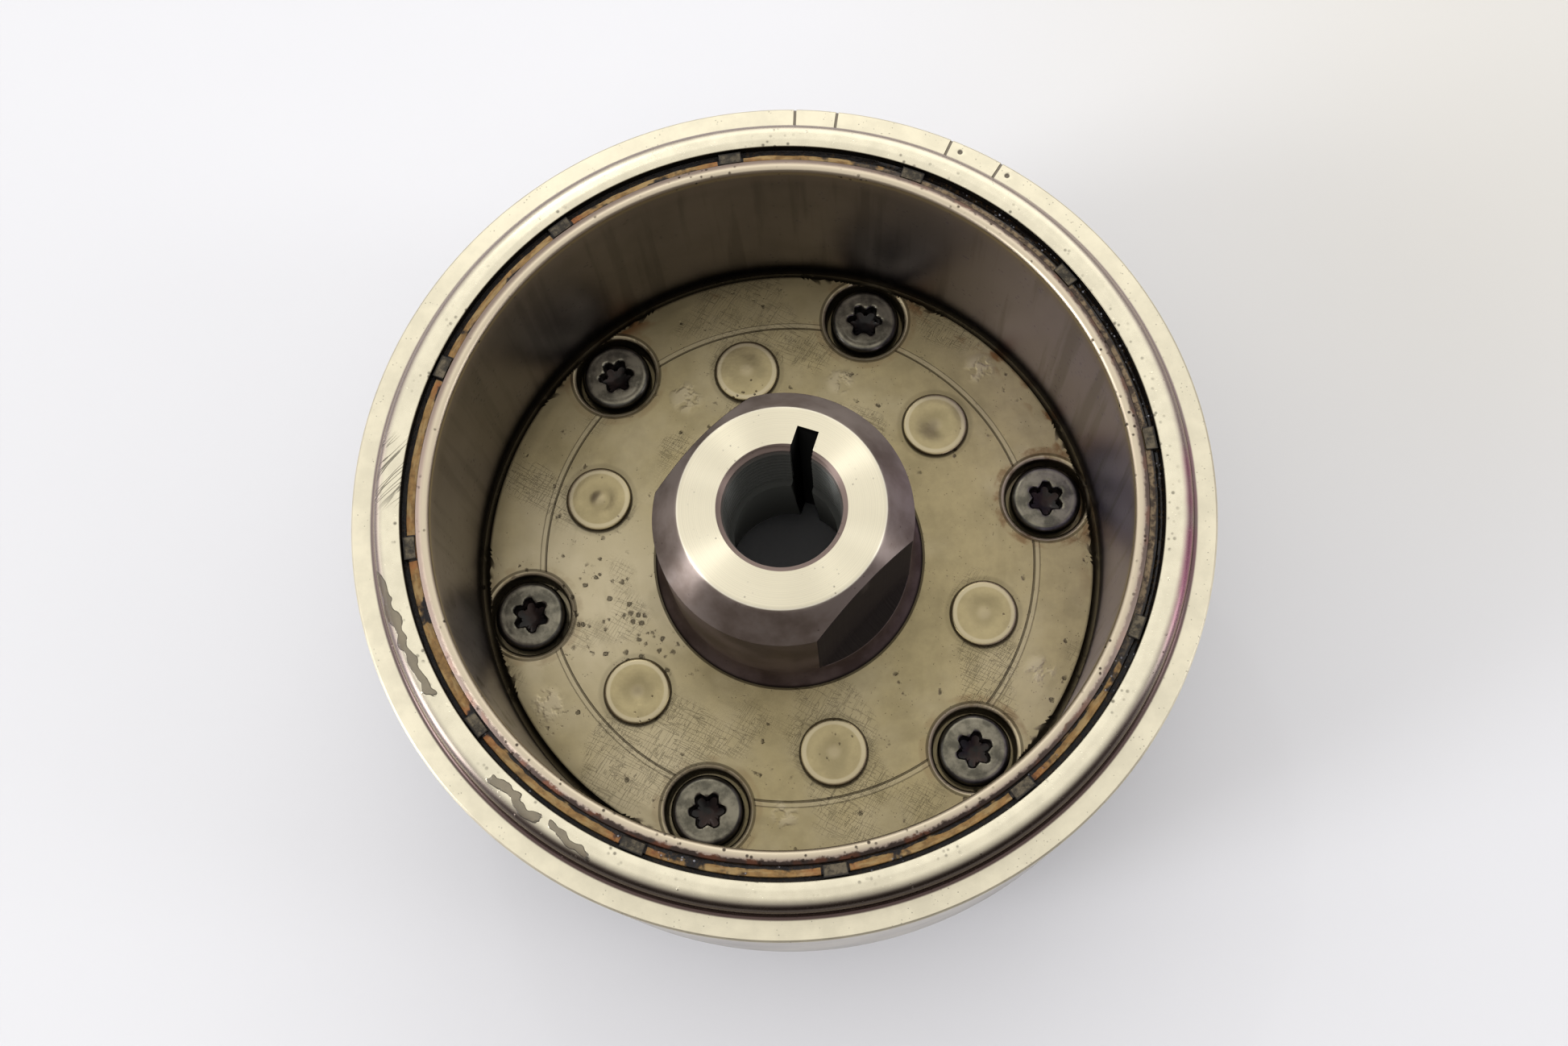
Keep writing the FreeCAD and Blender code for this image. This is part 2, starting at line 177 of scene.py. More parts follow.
def outline(corners, step=0.5, closed=False):
    """Outline through corners (r, z, rounding): each corner is an arc of that radius, tangent
    to both sides, and straight runs are cut into pieces of about one step."""
    corners = [tuple(c) + (0.0,) * (3 - len(c)) for c in corners]
    rows = []
    for i, (r, z, rounding) in enumerate(corners):
        here = np.array((r, z))
        before = np.array(corners[i - 1][:2]) - here
        after = np.array(corners[(i + 1) % len(corners)][:2]) - here
        before, after = before / np.linalg.norm(before), after / np.linalg.norm(after)
        if rounding <= 0:
            rows.append(here[None])
            continue
        half = math.acos(np.clip(before @ after, -1, 1)) / 2
        reach = rounding / math.tan(half)
        middle = here + (before + after) / np.linalg.norm(before + after) * rounding / math.sin(half)
        count = max(3, int(math.ceil((math.pi - 2 * half) / math.radians(9))))
        start, end = here + before * reach - middle, here + after * reach - middle
        share = np.linspace(0, 1, count + 1)[:, None]
        sweep = math.pi - 2 * half
        arc = (np.sin((1 - share) * sweep) * start + np.sin(share * sweep) * end) / math.sin(sweep)
        rows.append(middle + arc)
    points = []
    for row, following in zip(rows, rows[1:] + rows[:1]):
        points.append(row)
        if row is rows[-1] and not closed:
            break
        gap = following[0] - row[-1]
        count = int(np.linalg.norm(gap) / step)
        if count > 0:
            points.append(row[-1] + gap * (np.arange(1, count + 1) / (count + 1))[:, None])
    return np.concatenate(points)


def lathe(r, z, angles):
    """Points (r cos a, r sin a, z) on a grid of angles by outline points. r and z are one
    outline, or one outline for each angle."""
    a = angles[:, None]
    r, z = np.broadcast_arrays(r, z)
    r, z = np.broadcast_to(r, (len(angles), r.shape[-1])), np.broadcast_to(z, (len(angles), z.shape[-1]))
    return np.stack((r * np.cos(a), r * np.sin(a), z), axis=-1)


def quads(rows, columns, closed_rows=False, closed_columns=False):
    """Corner numbers of the cells of a grid whose points are numbered row by row."""
    i, j = np.meshgrid(np.arange(rows - (not closed_rows)), np.arange(columns - (not closed_columns)),
                       indexing="ij")
    i, j = i.ravel(), j.ravel()
    k, l = (i + 1) % rows, (j + 1) % columns
    return np.stack((i * columns + j, k * columns + j, k * columns + l, i * columns + l), axis=1)


def sheet_of(points, closed_rows=False, closed_columns=False):
    """A grid of points as (vertices, quads)."""
    rows, columns = points.shape[:2]
    return points.reshape(-1, 3), quads(rows, columns, closed_rows, closed_columns)


def even_angles(count, extra=()):
    """Angles round the axis, evenly spaced, with more wherever a feature needs them."""
    even = np.arange(count) * 2 * math.pi / count
    extra = np.unique(np.round(np.mod(np.asarray(extra, float), 2 * math.pi), 7))
    gap = np.abs((even[:, None] - extra + math.pi) % (2 * math.pi) - math.pi)
    clear = gap.min(axis=1) > 0.25 * math.pi / count if len(extra) else np.ones(count, bool)
    return np.sort(np.concatenate([even[clear], extra]))


def turned_by(points, angle):
    """Points turned about the rotor's axis."""
    c, s = math.cos(angle), math.sin(angle)
    return points @ np.array(((c, s, 0), (-s, c, 0), (0, 0, 1)))


def ripples(x, y, seed, waves=9, reach=6.0):
    """Smooth unevenness between about -1 and 1: a sum of sine waves of seeded directions."""
    rng = np.random.default_rng(seed)
    total = np.zeros(np.broadcast(x, y).shape)
    for _ in range(waves):
        kx, ky, phase = rng.uniform(-reach, reach), rng.uniform(-reach, reach), rng.uniform(0, 2 * math.pi)
        total += np.sin(kx * x + ky * y + phase)
    return total / math.sqrt(waves) / 1.6


def bump_at(x, centre, half_width):
    """1 at centre, falling smoothly to 0 at half_width away."""
    t = np.clip(1 - np.abs(x - centre) / half_width, 0, 1)
    return t * t * (3 - 2 * t)


def mesh_of(name, sheets):
    """Mesh from sheets in millimetres. Equal points are joined, cells that shrink to a
    triangle at a pole become triangles, and the faces are turned to point outwards."""
    points, cells, start = [], [], 0
    for vertices, faces in sheets:
        points.append(vertices)
        cells.append(faces + start)
        start += len(vertices)
    points, cells = np.concatenate(points), np.concatenate(cells)
    _, first, joined = np.unique(np.round(points, 4), axis=0, return_index=True, return_inverse=True)
    points, cells = points[first], joined.ravel()[cells]
    sorted_cells = np.sort(cells, axis=1)
    repeats = (sorted_cells[:, 1:] == sorted_cells[:, :-1]).sum(axis=1)
    whole, pinched = cells[repeats == 0], cells[repeats == 1]
    a, b, c, d = points[whole].transpose(1, 0, 2)
    volume = np.einsum("ij,ij->", a, np.cross(b, c)) + np.einsum("ij,ij->", a, np.cross(c, d))
    if volume < 0:
        whole, pinched = whole[:, ::-1], pinched[:, ::-1]
    faces = whole.tolist() + [list(dict.fromkeys(cell)) for cell in pinched.tolist()]
    mesh = bpy.data.meshes.new(name)
    mesh.from_pydata((points / MM).tolist(), [], faces)
    mesh.polygons.foreach_set("use_smooth", np.ones(len(faces), dtype=bool))
    mesh.set_sharp_from_angle(angle=math.radians(38))
    mesh.update()
    return mesh


def add_piece(name, sheets, material, stands_for, body="rotor"):
    """Adds a finished piece that rides on a body and stands for CAD nodes."""
    obj = bpy.data.objects.new(name, mesh_of(name, sheets))
    bpy.context.scene.collection.objects.link(obj)
    obj.data.materials.append(material)
    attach(obj, body)
    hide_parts(*stands_for)
    return obj


# ---- shader writing -------------------------------------------------------------------------

class Value:
    """A number socket that Python's operators work on; each operation adds a Math node."""

    def __init__(self, shader, socket):
        self.shader, self.socket = shader, socket

    def math(self, operation, *others):
        node = self.shader.node("ShaderNodeMath", {"operation": operation}, self, *others)
        return Value(self.shader, node.outputs[0])

    def __add__(self, other): return self.math("ADD", other)
    def __mul__(self, other): return self.math("MULTIPLY", other)
    def __sub__(self, other): return self.math("SUBTRACT", other)
    def __truediv__(self, other): return self.math("DIVIDE", other)
    def __neg__(self): return self.math("MULTIPLY", -1.0)
    def __rsub__(self, other): return (-self).math("ADD", other)
    __radd__, __rmul__ = __add__, __mul__

    def ramp(self, low, high):
        """0 below low, 1 above high, smooth between. Falls instead if low is above high."""
        if low > high:
            return 1.0 - self.ramp(high, low)
        node = self.shader.node("ShaderNodeMapRange", {"interpolation_type": "SMOOTHSTEP"},
                                self, low, high, 0.0, 1.0)
        return Value(self.shader, node.outputs[0])

    def near(self, centre, width, soft=0.5):
        """1 within width of centre, fading out over soft times the width more."""
        away = (self - centre).math("ABSOLUTE")
        return away.ramp(width * (1 + soft), width)

    def max(self, other): return self.math("MAXIMUM", other)
    def min(self, other): return self.math("MINIMUM", other)


class Nodes:
    """One node tree: reads its place as values, and writes the patterns that turned and
    stained metal needs."""

    def __init__(self, tree, kind="Object", scale=MM):
        self.tree = tree
        self.place = self.node("ShaderNodeTexCoord").outputs[kind]
        split = self.node("ShaderNodeSeparateXYZ", {}, self.place)
        self.x, self.y, self.z = (Value(self, out) * scale for out in split.outputs)
        self.r = (self.x * self.x + self.y * self.y).math("SQRT")
        self.angle = self.y.math("ARCTAN2", self.x) * (180 / math.pi)

    def node(self, kind, settings=None, *inputs, **named):
        """Adds a node, applies its settings, then fills its inputs with numbers or links."""
        node = self.tree.nodes.new(kind)
        for key, value in (settings or {}).items():
            setattr(node, key, value)
        for key, value in [*enumerate(inputs), *named.items()]:
            if value is None:
                continue
            socket = node.inputs[key.replace("_", " ") if isinstance(key, str) else key]
            if isinstance(value, Value):
                value = value.socket
            if isinstance(value, bpy.types.NodeSocket):
                self.tree.links.new(value, socket)
            else:
                socket.default_value = value
        return node

    def noise(self, scale, detail=2.0, roughness=0.5):
        """Noise between 0 and 1; scale is in features per millimetre."""
        node = self.node("ShaderNodeTexNoise", {}, Vector=self.place, Scale=scale * MM,
                         Detail=detail, Roughness=roughness)
        return Value(self, node.outputs["Fac"])

    def noise_along(self, value, scale, detail=2.0):
        """Noise that changes only with one value, such as turning marks with the radius."""
        node = self.node("ShaderNodeTexNoise", {"noise_dimensions": "1D"}, W=value * scale,
                         Scale=1.0, Detail=detail)
        return Value(self, node.outputs["Fac"])

    def cells(self, scale):
        """Distance to the nearest of scattered points, 0 to about 1."""
        node = self.node("ShaderNodeTexVoronoi", {}, Vector=self.place, Scale=scale * MM)
        return Value(self, node.outputs["Distance"])

    def spot(self, distance, angle, radius, soft=0.6):
        """1 in a round patch at a distance and an angle from the axis, fading outwards."""
        dx = self.x - distance * math.cos(math.radians(angle))
        dy = self.y - distance * math.sin(math.radians(angle))
        away = (dx * dx + dy * dy).math("SQRT")
        return away.ramp(radius * (1 + soft), radius * (1 - soft * 0.5))

    def folded(self, count, first):
        """Degrees from the nearest of some directions evenly spaced round the axis."""
        step = 360.0 / count
        return (self.angle - first + 720.0 + step / 2).math("MODULO", step) - step / 2

    def around(self, angle, half, soft=0.5):
        """1 within half an angle of a direction, in degrees, all the way up and down."""
        return self.folded(1, angle).math("ABSOLUTE").ramp(half * (1 + soft), half * (1 - soft))

    def from_six(self, circle, first, forward=0.0):
        """Distance to the nearest of six axes evenly spaced on a circle, all moved forward."""
        home = (self.angle - self.folded(6, first)) * (math.pi / 180)
        dx = self.x - home.math("COSINE") * circle
        dy = self.y - home.math("SINE") * circle + forward
        return (dx * dx + dy * dy).math("SQRT")

    def trail(self, distance, angle, half, climb, width):
        """1 along part of a ring that climbs outwards by so many millimetres for each degree."""
        along = self.folded(1, angle)
        winding = (self.noise(0.35, 1) - 0.5) * 2.4
        across = (self.r - distance - along * climb + winding).near(0.0, width, 1.6)
        return across * along.math("ABSOLUTE").ramp(half + 2, half)

    def scratches(self, angle, scale, width=0.006):
        """Long hairlines that run in one direction, where a stretched noise crosses its middle."""
        c, s = math.cos(math.radians(angle)), math.sin(math.radians(angle))
        along, across = self.x * c + self.y * s, self.y * c - self.x * s
        stretched = self.node("ShaderNodeCombineXYZ", {}, along * 0.05, across * 0.6, 0.0)
        line = self.node("ShaderNodeTexNoise", {}, Vector=stretched.outputs[0], Scale=scale, Detail=1.0)
        return Value(self, line.outputs["Fac"]).near(0.5, width, 1.0)

    def streaks(self, across, along, detail=4.0):
        """Noise drawn out round the axis: across counts features per millimetre of radius,
        along counts them per degree."""
        ring = 180 / math.pi * along
        drawn = self.node("ShaderNodeCombineXYZ", {}, self.x / self.r * ring, self.y / self.r * ring,
                          (self.r + self.z) * across)
        noise = self.node("ShaderNodeTexNoise", {}, Vector=drawn.outputs[0], Scale=1.0, Detail=detail)
        return Value(self, noise.outputs["Fac"])

    def mix(self, factor, first, second):
        """Colour between two colours."""
        node = self.node("ShaderNodeMix", {"data_type": "RGBA"})
        for index, value in ((0, factor), (6, first), (7, second)):
            if isinstance(value, Value):
                value = value.socket
            if isinstance(value, bpy.types.NodeSocket):
                self.tree.links.new(value, node.inputs[index])
            else:
                node.inputs[index].default_value = value if index == 0 else (*value, 1.0)
        return node.outputs[2]


class Shader(Nodes):
    """A material's node tree, ending in its Principled shader."""

    def __init__(self, name, **constants):
        self.material = bpy.data.materials.new(name)
        self.material.use_nodes = True
        super().__init__(self.material.node_tree)
        self.surface = self.tree.nodes["Principled BSDF"]
        for key, value in constants.items():
            self.surface.inputs[key.replace("_", " ")].default_value = value

    def finish(self, colour, roughness, height=None, depth=0.1, metallic=None):
        """Feeds the surface. height is a value and depth what 1 of it stands for, in millimetres."""
        pairs = {"Base Color": colour, "Roughness": roughness, "Metallic": metallic}
        for name, value in pairs.items():
            if isinstance(value, Value):
                value = value.socket
            if isinstance(value, bpy.types.NodeSocket):
                self.tree.links.new(value, self.surface.inputs[name])
            elif value is not None:
                self.surface.inputs[name].default_value = value
        if height is not None:
            bump = self.node("ShaderNodeBump", {}, Strength=1.0, Distance=depth / MM, Height=height)
            self.tree.links.new(bump.outputs[0], self.surface.inputs["Normal"])
        return self.material


def darker(colour, share):
    """A colour times a share, as a plain tuple."""
    return tuple(c * share for c in colour)


# ---- finishes -------------------------------------------------------------------------------

def cup_finish(sizes, colours):
    """Champagne-tinted steel: pitted flat ring, polished bead, mottled satin web, turned wall."""
    s = Shader("cup_steel", Metallic=1.0, Anisotropic=0.5, Anisotropic_Rotation=0.25)
    web_z, rim_z, outer = sizes.web_height * MM, sizes.rim_height * MM, CUP_R * MM
    steel, web, grease = tuple(colours.steel), tuple(colours.web), tuple(colours.grease)
    inside = s.r.ramp(54, 53.5)
    on_web = s.z.ramp(web_z + 3, web_z + 1) * inside * s.z.ramp(web_z - 6.5, web_z - 6)
    on_rim = s.z.ramp(rim_z - 0.6, rim_z - 0.2)
    step_r = outer - sizes.land * MM
    bead_r = outer - (sizes.wall + sizes.bead_reach) * MM
    on_bead = on_rim * s.r.ramp(step_r + 0.2, step_r - 0.1)
    on_land = on_rim - on_bead
    cloud, blotch, grain = s.noise(0.05, 4, 0.6), s.noise(0.25, 5, 0.62), s.noise(2.2, 3, 0.6)
    rings = s.noise_along(s.r, 6.0, 3)
    # wall and back
    colour = s.mix(cloud.ramp(0.3, 0.7), (0.42, 0.40, 0.38), (0.58, 0.55, 0.50))
    # flat ring and bead
    tint_rim = s.mix(blotch.ramp(0.3, 0.7), darker(steel, 0.92), darker(steel, 1.05))
    # painted reflection: the bead's outer slope is drawn mauve, near black at the front, for the dark room it
    # reflects; on the right it turns violet in patches
    front = s.around(268, 72, 0.55)
    painted_reflection_band = (s.r + front * 0.35).ramp(step_r - 2.6, step_r - 1.2) * on_bead
    tint_rim = s.mix(painted_reflection_band * 0.94, tint_rim, s.mix(front, (0.34, 0.275, 0.265), (0.055, 0.038, 0.033)))
    violet = s.around(-12, 16) * painted_reflection_band * cloud.ramp(0.4, 0.6)
    tint_rim = s.mix(violet * 0.7, tint_rim, (0.34, 0.10, 0.18))
    colour = s.mix(on_rim, colour, tint_rim)
    # painted shade in the cove between the bead and the flat ring, darker at the front
    cove_shade = s.r.near(step_r - 0.42, 0.30, 1.2) * on_rim
    shade = front * 0.4 + 0.5
    colour = s.mix(cove_shade * shade, colour, (0.09, 0.06, 0.055))
    # painted shade with grease under the bead's inner edge, drawn dark brown
    under = s.r.ramp(bead_r + 0.25, bead_r + 0.02) * s.z.ramp(rim_z + 0.2, rim_z + 0.6)
    colour = s.mix(under * on_bead, colour, (0.05, 0.04, 0.025))
    # web: olive tan, lighter towards the left and in patches, darker towards the back, with blots, pits and
    # brown leaks at its edge
    tint_web = s.mix(blotch.ramp(0.3, 0.7), darker(web, 0.86), darker(web, 1.08))
    # lighter towards the left and lower left, and in patches
    lighter_left_patches = s.spot(33, 182, 13, 0.9) * 0.7 + s.spot(40, 228, 10, 0.9) * 0.35 + cloud.ramp(0.42, 0.68) * 0.35
    tint_web = s.mix(lighter_left_patches.min(1.0), tint_web, (0.60, 0.52, 0.345))
    # darker towards the back, more so outwards from radius 34, and in faint streaks
    darkening = s.around(100, 55, 0.6) * s.r.ramp(34, 48) * 0.6 + s.streaks(0.25, 0.05).ramp(0.52, 0.7) * 0.2
    tint_web = s.mix(darkening, tint_web, darker(web, 0.5))
    leaks = s.streaks(0.35, 0.16).ramp(0.48, 0.6) * s.r.ramp(48.0, 50.6)
    leaks = leaks * (s.around(28, 34) + s.around(120, 12) + s.spot(50.5, 95, 2.0)).min(1.0)
    tint_web = s.mix(leaks * 0.8, tint_web, (0.16, 0.055, 0.012))
    colour = s.mix(on_web, colour, tint_web)
    # painted shade in corners: round the rivets and the screw heads, in the groove, at the hub's foot and
    # along the web's back-left edge, with a painted shadow in front of each rivet; the scribed line and the
    # marks are darkened as well
    rivets = s.from_six(sizes.rivet_circle * MM, math.degrees(sizes.first_rivet))
    screws = s.from_six(sizes.screw_circle * MM, math.degrees(sizes.first_screw))
    outside_mouths = screws.ramp(7.7, 8.0)
    lines = (s.r.near(41.42, 0.10, 1.2) + s.r.near(42.35, 0.05, 1.2) * 0.5) * outside_mouths
    between = s.r.near(41.9, 0.35, 0.3) * outside_mouths * 0.35
    colour = s.mix(between * on_web, colour, (0.50, 0.43, 0.28))
    rust = screws.near(7.9, 0.9, 0.6) * blotch.ramp(0.42, 0.6) * (s.around(0, 40) + 0.35).min(1.0) * 0.6
    colour = s.mix(rust * on_web, colour, (0.15, 0.06, 0.02))
    mouth = screws.near(7.28, 0.22, 0.8) * s.noise(0.4, 3).ramp(0.3, 0.5)
    colour = s.mix(mouth * on_web * 0.85, colour, (0.56, 0.48, 0.31))
    corners = rivets.near(5.6, 0.07, 1.6) * 0.85 + screws.near(6.83, 0.16, 0.8) * 0.9
    corners = corners + screws.near(7.78, 0.16, 1.0) * 0.7 + s.r.ramp(50.7, 51.3) * 0.8 + lines * 0.75
    corners = corners + s.r.near(22.75, 0.18, 0.8) * 0.9 + rivets.near(5.6, 0.6, 1.0) * 0.22
    # painted shadow: a crescent on the web in front of each rivet
    shade = s.from_six(sizes.rivet_circle * MM, math.degrees(sizes.first_rivet), 0.32)
    corners = corners + shade.ramp(5.85, 5.45) * rivets.ramp(5.35, 5.5) * 0.75
    corners = corners + s.r.ramp(47.5, 51) * s.around(150, 75, 0.4) * 0.4
    colour = s.mix((corners * on_web).min(1.0) * 0.9, colour, (0.035, 0.026, 0.015))
    notches = s.angle * 0.0
    for mark in MARKS:
        aside = (s.angle - mark) * s.r * (math.pi / 180)
        notches = notches.max(aside.near(0.0, 0.13, 0.9))
    for dot in DOTS:
        notches = notches.max(s.spot((step_r + outer) / 2, dot, 0.38, 0.4))
    colour = s.mix(notches * on_land * 0.85, colour, (0.06, 0.045, 0.04))
    # pits, specks, scratches and burnt oil
    cluster = s.spot(33, 186, 7.5, 0.7) + s.spot(30, 206, 6, 0.6)
    pits = (s.cells(0.62) + grain * 0.5 - 0.25).ramp(0.34, 0.10)
    pits = pits * (s.noise(0.3, 2) + cluster * 0.22).ramp(0.60, 0.70)
    specks = s.cells(1.5).ramp(0.20, 0.07) * (s.noise(0.3, 2) + s.around(-20, 70) * 0.06).ramp(0.52, 0.6)
    stain = s.trail(59.5, 193, 9, -0.10, 0.30).max(s.trail(58.7, 222, 3.6, 0.03, 0.34))
    stain = stain.max(s.trail(59.3, 231.5, 2.4, 0.14, 0.26))
    smudges = (stain * 0.75 + s.noise(0.75, 2, 0.5) - 0.5).ramp(0.20, 0.52) * on_bead
    rub = s.scratches(40, 2.0, 0.014) * s.around(168, 4.5) * on_bead * s.r.ramp(61.2, 60.6)
    flecks = s.cells(0.9).ramp(0.34, 0.12) * (s.noise(0.2, 3) + s.around(20, 45) * 0.05).ramp(0.5, 0.62)
    flecks = flecks * on_bead * s.r.ramp(59.6, 57.4)
    hair = (s.scratches(50, 3.0) + s.scratches(-35, 2.2)).min(1.0) * on_web * s.noise(0.06, 1).ramp(0.5, 0.6)
    dark = (pits * on_web).max(specks * on_land * 0.6).max(specks * on_web * 0.6).max(flecks * 0.8)
    dark = dark.max(smudges * 0.95).max(rub * 0.8).max(hair * 0.3)
    burnt = s.mix(smudges.ramp(0.7, 1.0) * blotch, darker(grease, 1.2), (0.13, 0.09, 0.034))
    colour = s.mix(dark * (0.85 - pits * 0.2), colour, burnt)
    stamps = s.spot(33.9, 114, 2.2) + s.spot(32.6, 66, 1.8) + s.spot(47.0, 37, 2.0)
    stamps = stamps + s.spot(46.1, -34, 2.0) + s.spot(43.3, -99, 1.8) + s.spot(47.4, -156, 2.2)
    stamps = stamps * s.noise(0.55, 2).ramp(0.4, 0.6)
    colour = s.mix(stamps * on_web * 0.4, colour, (0.60, 0.52, 0.36))
    rough = 0.30 + blotch * 0.12 + on_web * 0.08 - on_bead * 0.12 + grain * 0.06 - smudges * 0.12
    height = grain * (0.25 - on_bead * 0.23) + rings * (1.0 - on_web) * (0.3 - on_bead * 0.12)
    height = height + blotch * on_web * 1.2 - pits * on_web * 6.0
    height = height - lines * 4.0 - specks * 1.0 + smudges * (9.0 + blotch * 14.0) - hair * 1.5
    height = height + stamps * on_web * 5.0 - rub * 3.0
    return s.finish(colour, rough, height, 0.02, metallic=1.0 - smudges)


def hub_finish(sizes, colours):
    """Finely turned steel with close rings on the face; cone, barrel, flats, bore, keyway and foot darkened
    as painted shade.
    """
    s = Shader("hub_steel", Metallic=1.0, Anisotropic=0.95, Anisotropic_Rotation=0.25)
    steel = tuple(colours.steel)
    top, face, barrel = HUB_HIGH * MM, sizes.face * MM, sizes.barrel * MM
    shoulder = top - sizes.cone_drop * MM
    on_face = s.z.ramp(top - 0.2, top - 0.03)
    on_cone = s.z.ramp(shoulder - 0.1, shoulder + 0.1) - on_face
    cloud = s.noise(0.12, 4, 0.6)
    rings = s.noise_along(s.r, 9.0, 4)
    bands = s.noise_along(s.z, 5.0, 3)
    # painted shade: the cone and barrel are drawn much darker than the face
    body = s.mix(cloud.ramp(0.35, 0.65), (0.11, 0.08, 0.072), (0.19, 0.145, 0.135))
    cone = s.mix(cloud.ramp(0.35, 0.65), (0.235, 0.185, 0.155), (0.36, 0.30, 0.265))
    colour = s.mix(on_cone, body, cone)
    colour = s.mix(on_face, colour, s.mix(rings.ramp(0.3, 0.7), darker(steel, 0.97), darker(steel, 1.10)))
    flat = sizes.flats * MM / 2 + 0.06
    c, d = math.cos(sizes.flats_turn), math.sin(sizes.flats_turn)
    on_flat = (s.x * c + s.y * d).math("ABSOLUTE").near(flat - 0.06, 0.05, 1.0)
    on_flat = on_flat * s.r.ramp(17.3, 17.55) * s.r.ramp(barrel + 0.03, barrel)
    below = s.r.ramp(barrel - 0.04, barrel - 0.1) * s.z.ramp(shoulder, shoulder - 0.2) * s.r.ramp(14, 15)
    on_flat = on_flat.max(below) * (1.0 - on_face)
    # painted shade: the spanner flats are drawn near black, streaked by milling
    milled = s.noise_along(s.x * d - s.y * c, 3.0, 2)
    colour = s.mix(on_flat, colour, s.mix(milled, (0.028, 0.022, 0.02), (0.05, 0.042, 0.036)))
    # painted shade: the bore is drawn dark, darkest deep down
    in_bore = s.r.ramp(10.25, 10.12).max(s.z.ramp(top - 1.0, top - 2.0) * s.r.ramp(14, 13))
    bore = s.mix(s.z.ramp(top - 2.6, top - 1.4), (0.10, 0.102, 0.092), (0.30, 0.23, 0.20))
    colour = s.mix(in_bore, colour, bore)
    # painted shade: the keyway is drawn near black
    key = s.x * math.cos(sizes.key_turn) + s.y * math.sin(sizes.key_turn)
    aside = s.y * math.cos(sizes.key_turn) - s.x * math.sin(sizes.key_turn)
    in_key = aside.near(0.0, sizes.key_width * MM / 2 + 0.06, 0.02) * key.ramp(9.3, 9.8) * key.ramp(14, 13.6)
    in_key = in_key * s.z.ramp(top, top - 0.15)
    colour = s.mix(in_key, colour, (0.018, 0.018, 0.017))
    # painted highlight: a bright ring at the face's outer edge
    colour = s.mix(s.r.near(face - 0.06, 0.06, 1.0) * on_face * 0.4, colour, (0.9, 0.86, 0.76))
    # painted shade at the hub's foot, where it meets the web
    foot = s.z.ramp(CUP_WEB + 0.7, CUP_WEB)
    colour = s.mix(foot * s.r.ramp(22.0, 22.5), colour, (0.03, 0.022, 0.018))
    specks = s.cells(0.9).ramp(0.2, 0.05) * (s.noise(0.2, 2) + s.spot(14, 120, 4.0) * 0.1).ramp(0.54, 0.64)
    colour = s.mix(specks * 0.6, colour, (0.08, 0.06, 0.05))
    rough = 0.32 + cloud * 0.08 + on_face * 0.02 + in_bore * 0.2 + on_flat * 0.2
    plain = 1.0 - in_key.max(in_bore)
    height = (rings * on_face * 0.8 + bands * (1.0 - on_face) * 0.4 - specks + milled * on_flat * 1.5) * plain
    return s.finish(colour, rough, height, 0.006)


def liner_finish(colours):
    """Drawn stainless with painted light on the right and near the top and painted shade at the bottom; its
    lip has a painted highlight on the crest, shade and burnt crust at its edge, and burnt oil specks.
    """
    s = Shader("liner_stainless", Metallic=1.0)
    top = LINER_HIGH * MM
    lip = s.z.ramp(top - 1.9, top - 0.9)
    cloud = s.noise(0.04, 4, 0.55)
    drawn = s.noise_along(s.z, 2.0, 3)
    runs = s.streaks(0.02, 0.35)
    colour = s.mix(cloud.ramp(0.3, 0.7), darker(colours.liner, 0.75), darker(colours.liner, 1.15))
    # painted light: lighter and bluish on the right, towards the window there
    colour = s.mix(s.around(-12, 55, 0.5) * 0.5, colour, (0.54, 0.50, 0.80))
    colour = s.mix(runs.ramp(0.5, 0.65) * 0.35, colour, darker(colours.liner, 0.35))
    # painted shade: near black at the bottom of the wall, by the web
    colour = s.mix(s.z.ramp(CUP_WEB + 6.0, CUP_WEB + 0.5) * 0.85, colour, (0.02, 0.016, 0.014))
    # painted light: lighter towards the top
    pale = s.z.ramp(top - 5.0, top - 1.0) * 0.6
    colour = s.mix(pale, colour, (0.36, 0.31, 0.33))
    stains = s.streaks(0.15, 0.2).ramp(0.54, 0.66) * s.around(215, 26) * s.z.ramp(35, 45)
    colour = s.mix(stains * 0.8, colour, (0.03, 0.02, 0.015))
    # painted highlight on the lip's crest, painted shade on its outer side
    crown = s.mix(s.r.ramp(53.3, 54.2), (0.54, 0.465, 0.34), (0.34, 0.265, 0.22))
    colour = s.mix(lip, colour, crown)
    # painted shade in the crease all round the lip's outer edge, with burnt crust spreading over it where
    # crust is high
    crust = s.around(262, 62, 0.5).max(s.around(15, 50, 0.5) * 0.75)
    edge = s.r.ramp(54.45, 54.62).max((s.r + s.noise(0.7, 4, 0.7) * 1.6).ramp(54.5, 54.9) * crust)
    crust_and_crease_shade = s.mix(s.noise(0.3, 2).ramp(0.5, 0.65), (0.022, 0.014, 0.012), (0.10, 0.03, 0.012))
    colour = s.mix(edge * lip * 0.9, colour, crust_and_crease_shade)
    specks = s.cells(0.9).ramp(0.3, 0.12) * (s.noise(0.2, 3) + crust * 0.07).ramp(0.54, 0.64)
    colour = s.mix(specks * (0.12 + lip * 0.75), colour, darker(colours.grease, 2.5))
    rough = 0.28 + cloud * 0.12 + lip * 0.04 + specks * 0.2
    return s.finish(colour, rough, drawn * 0.4 + specks * lip * 3.0 + edge * lip * 2.0, 0.01)


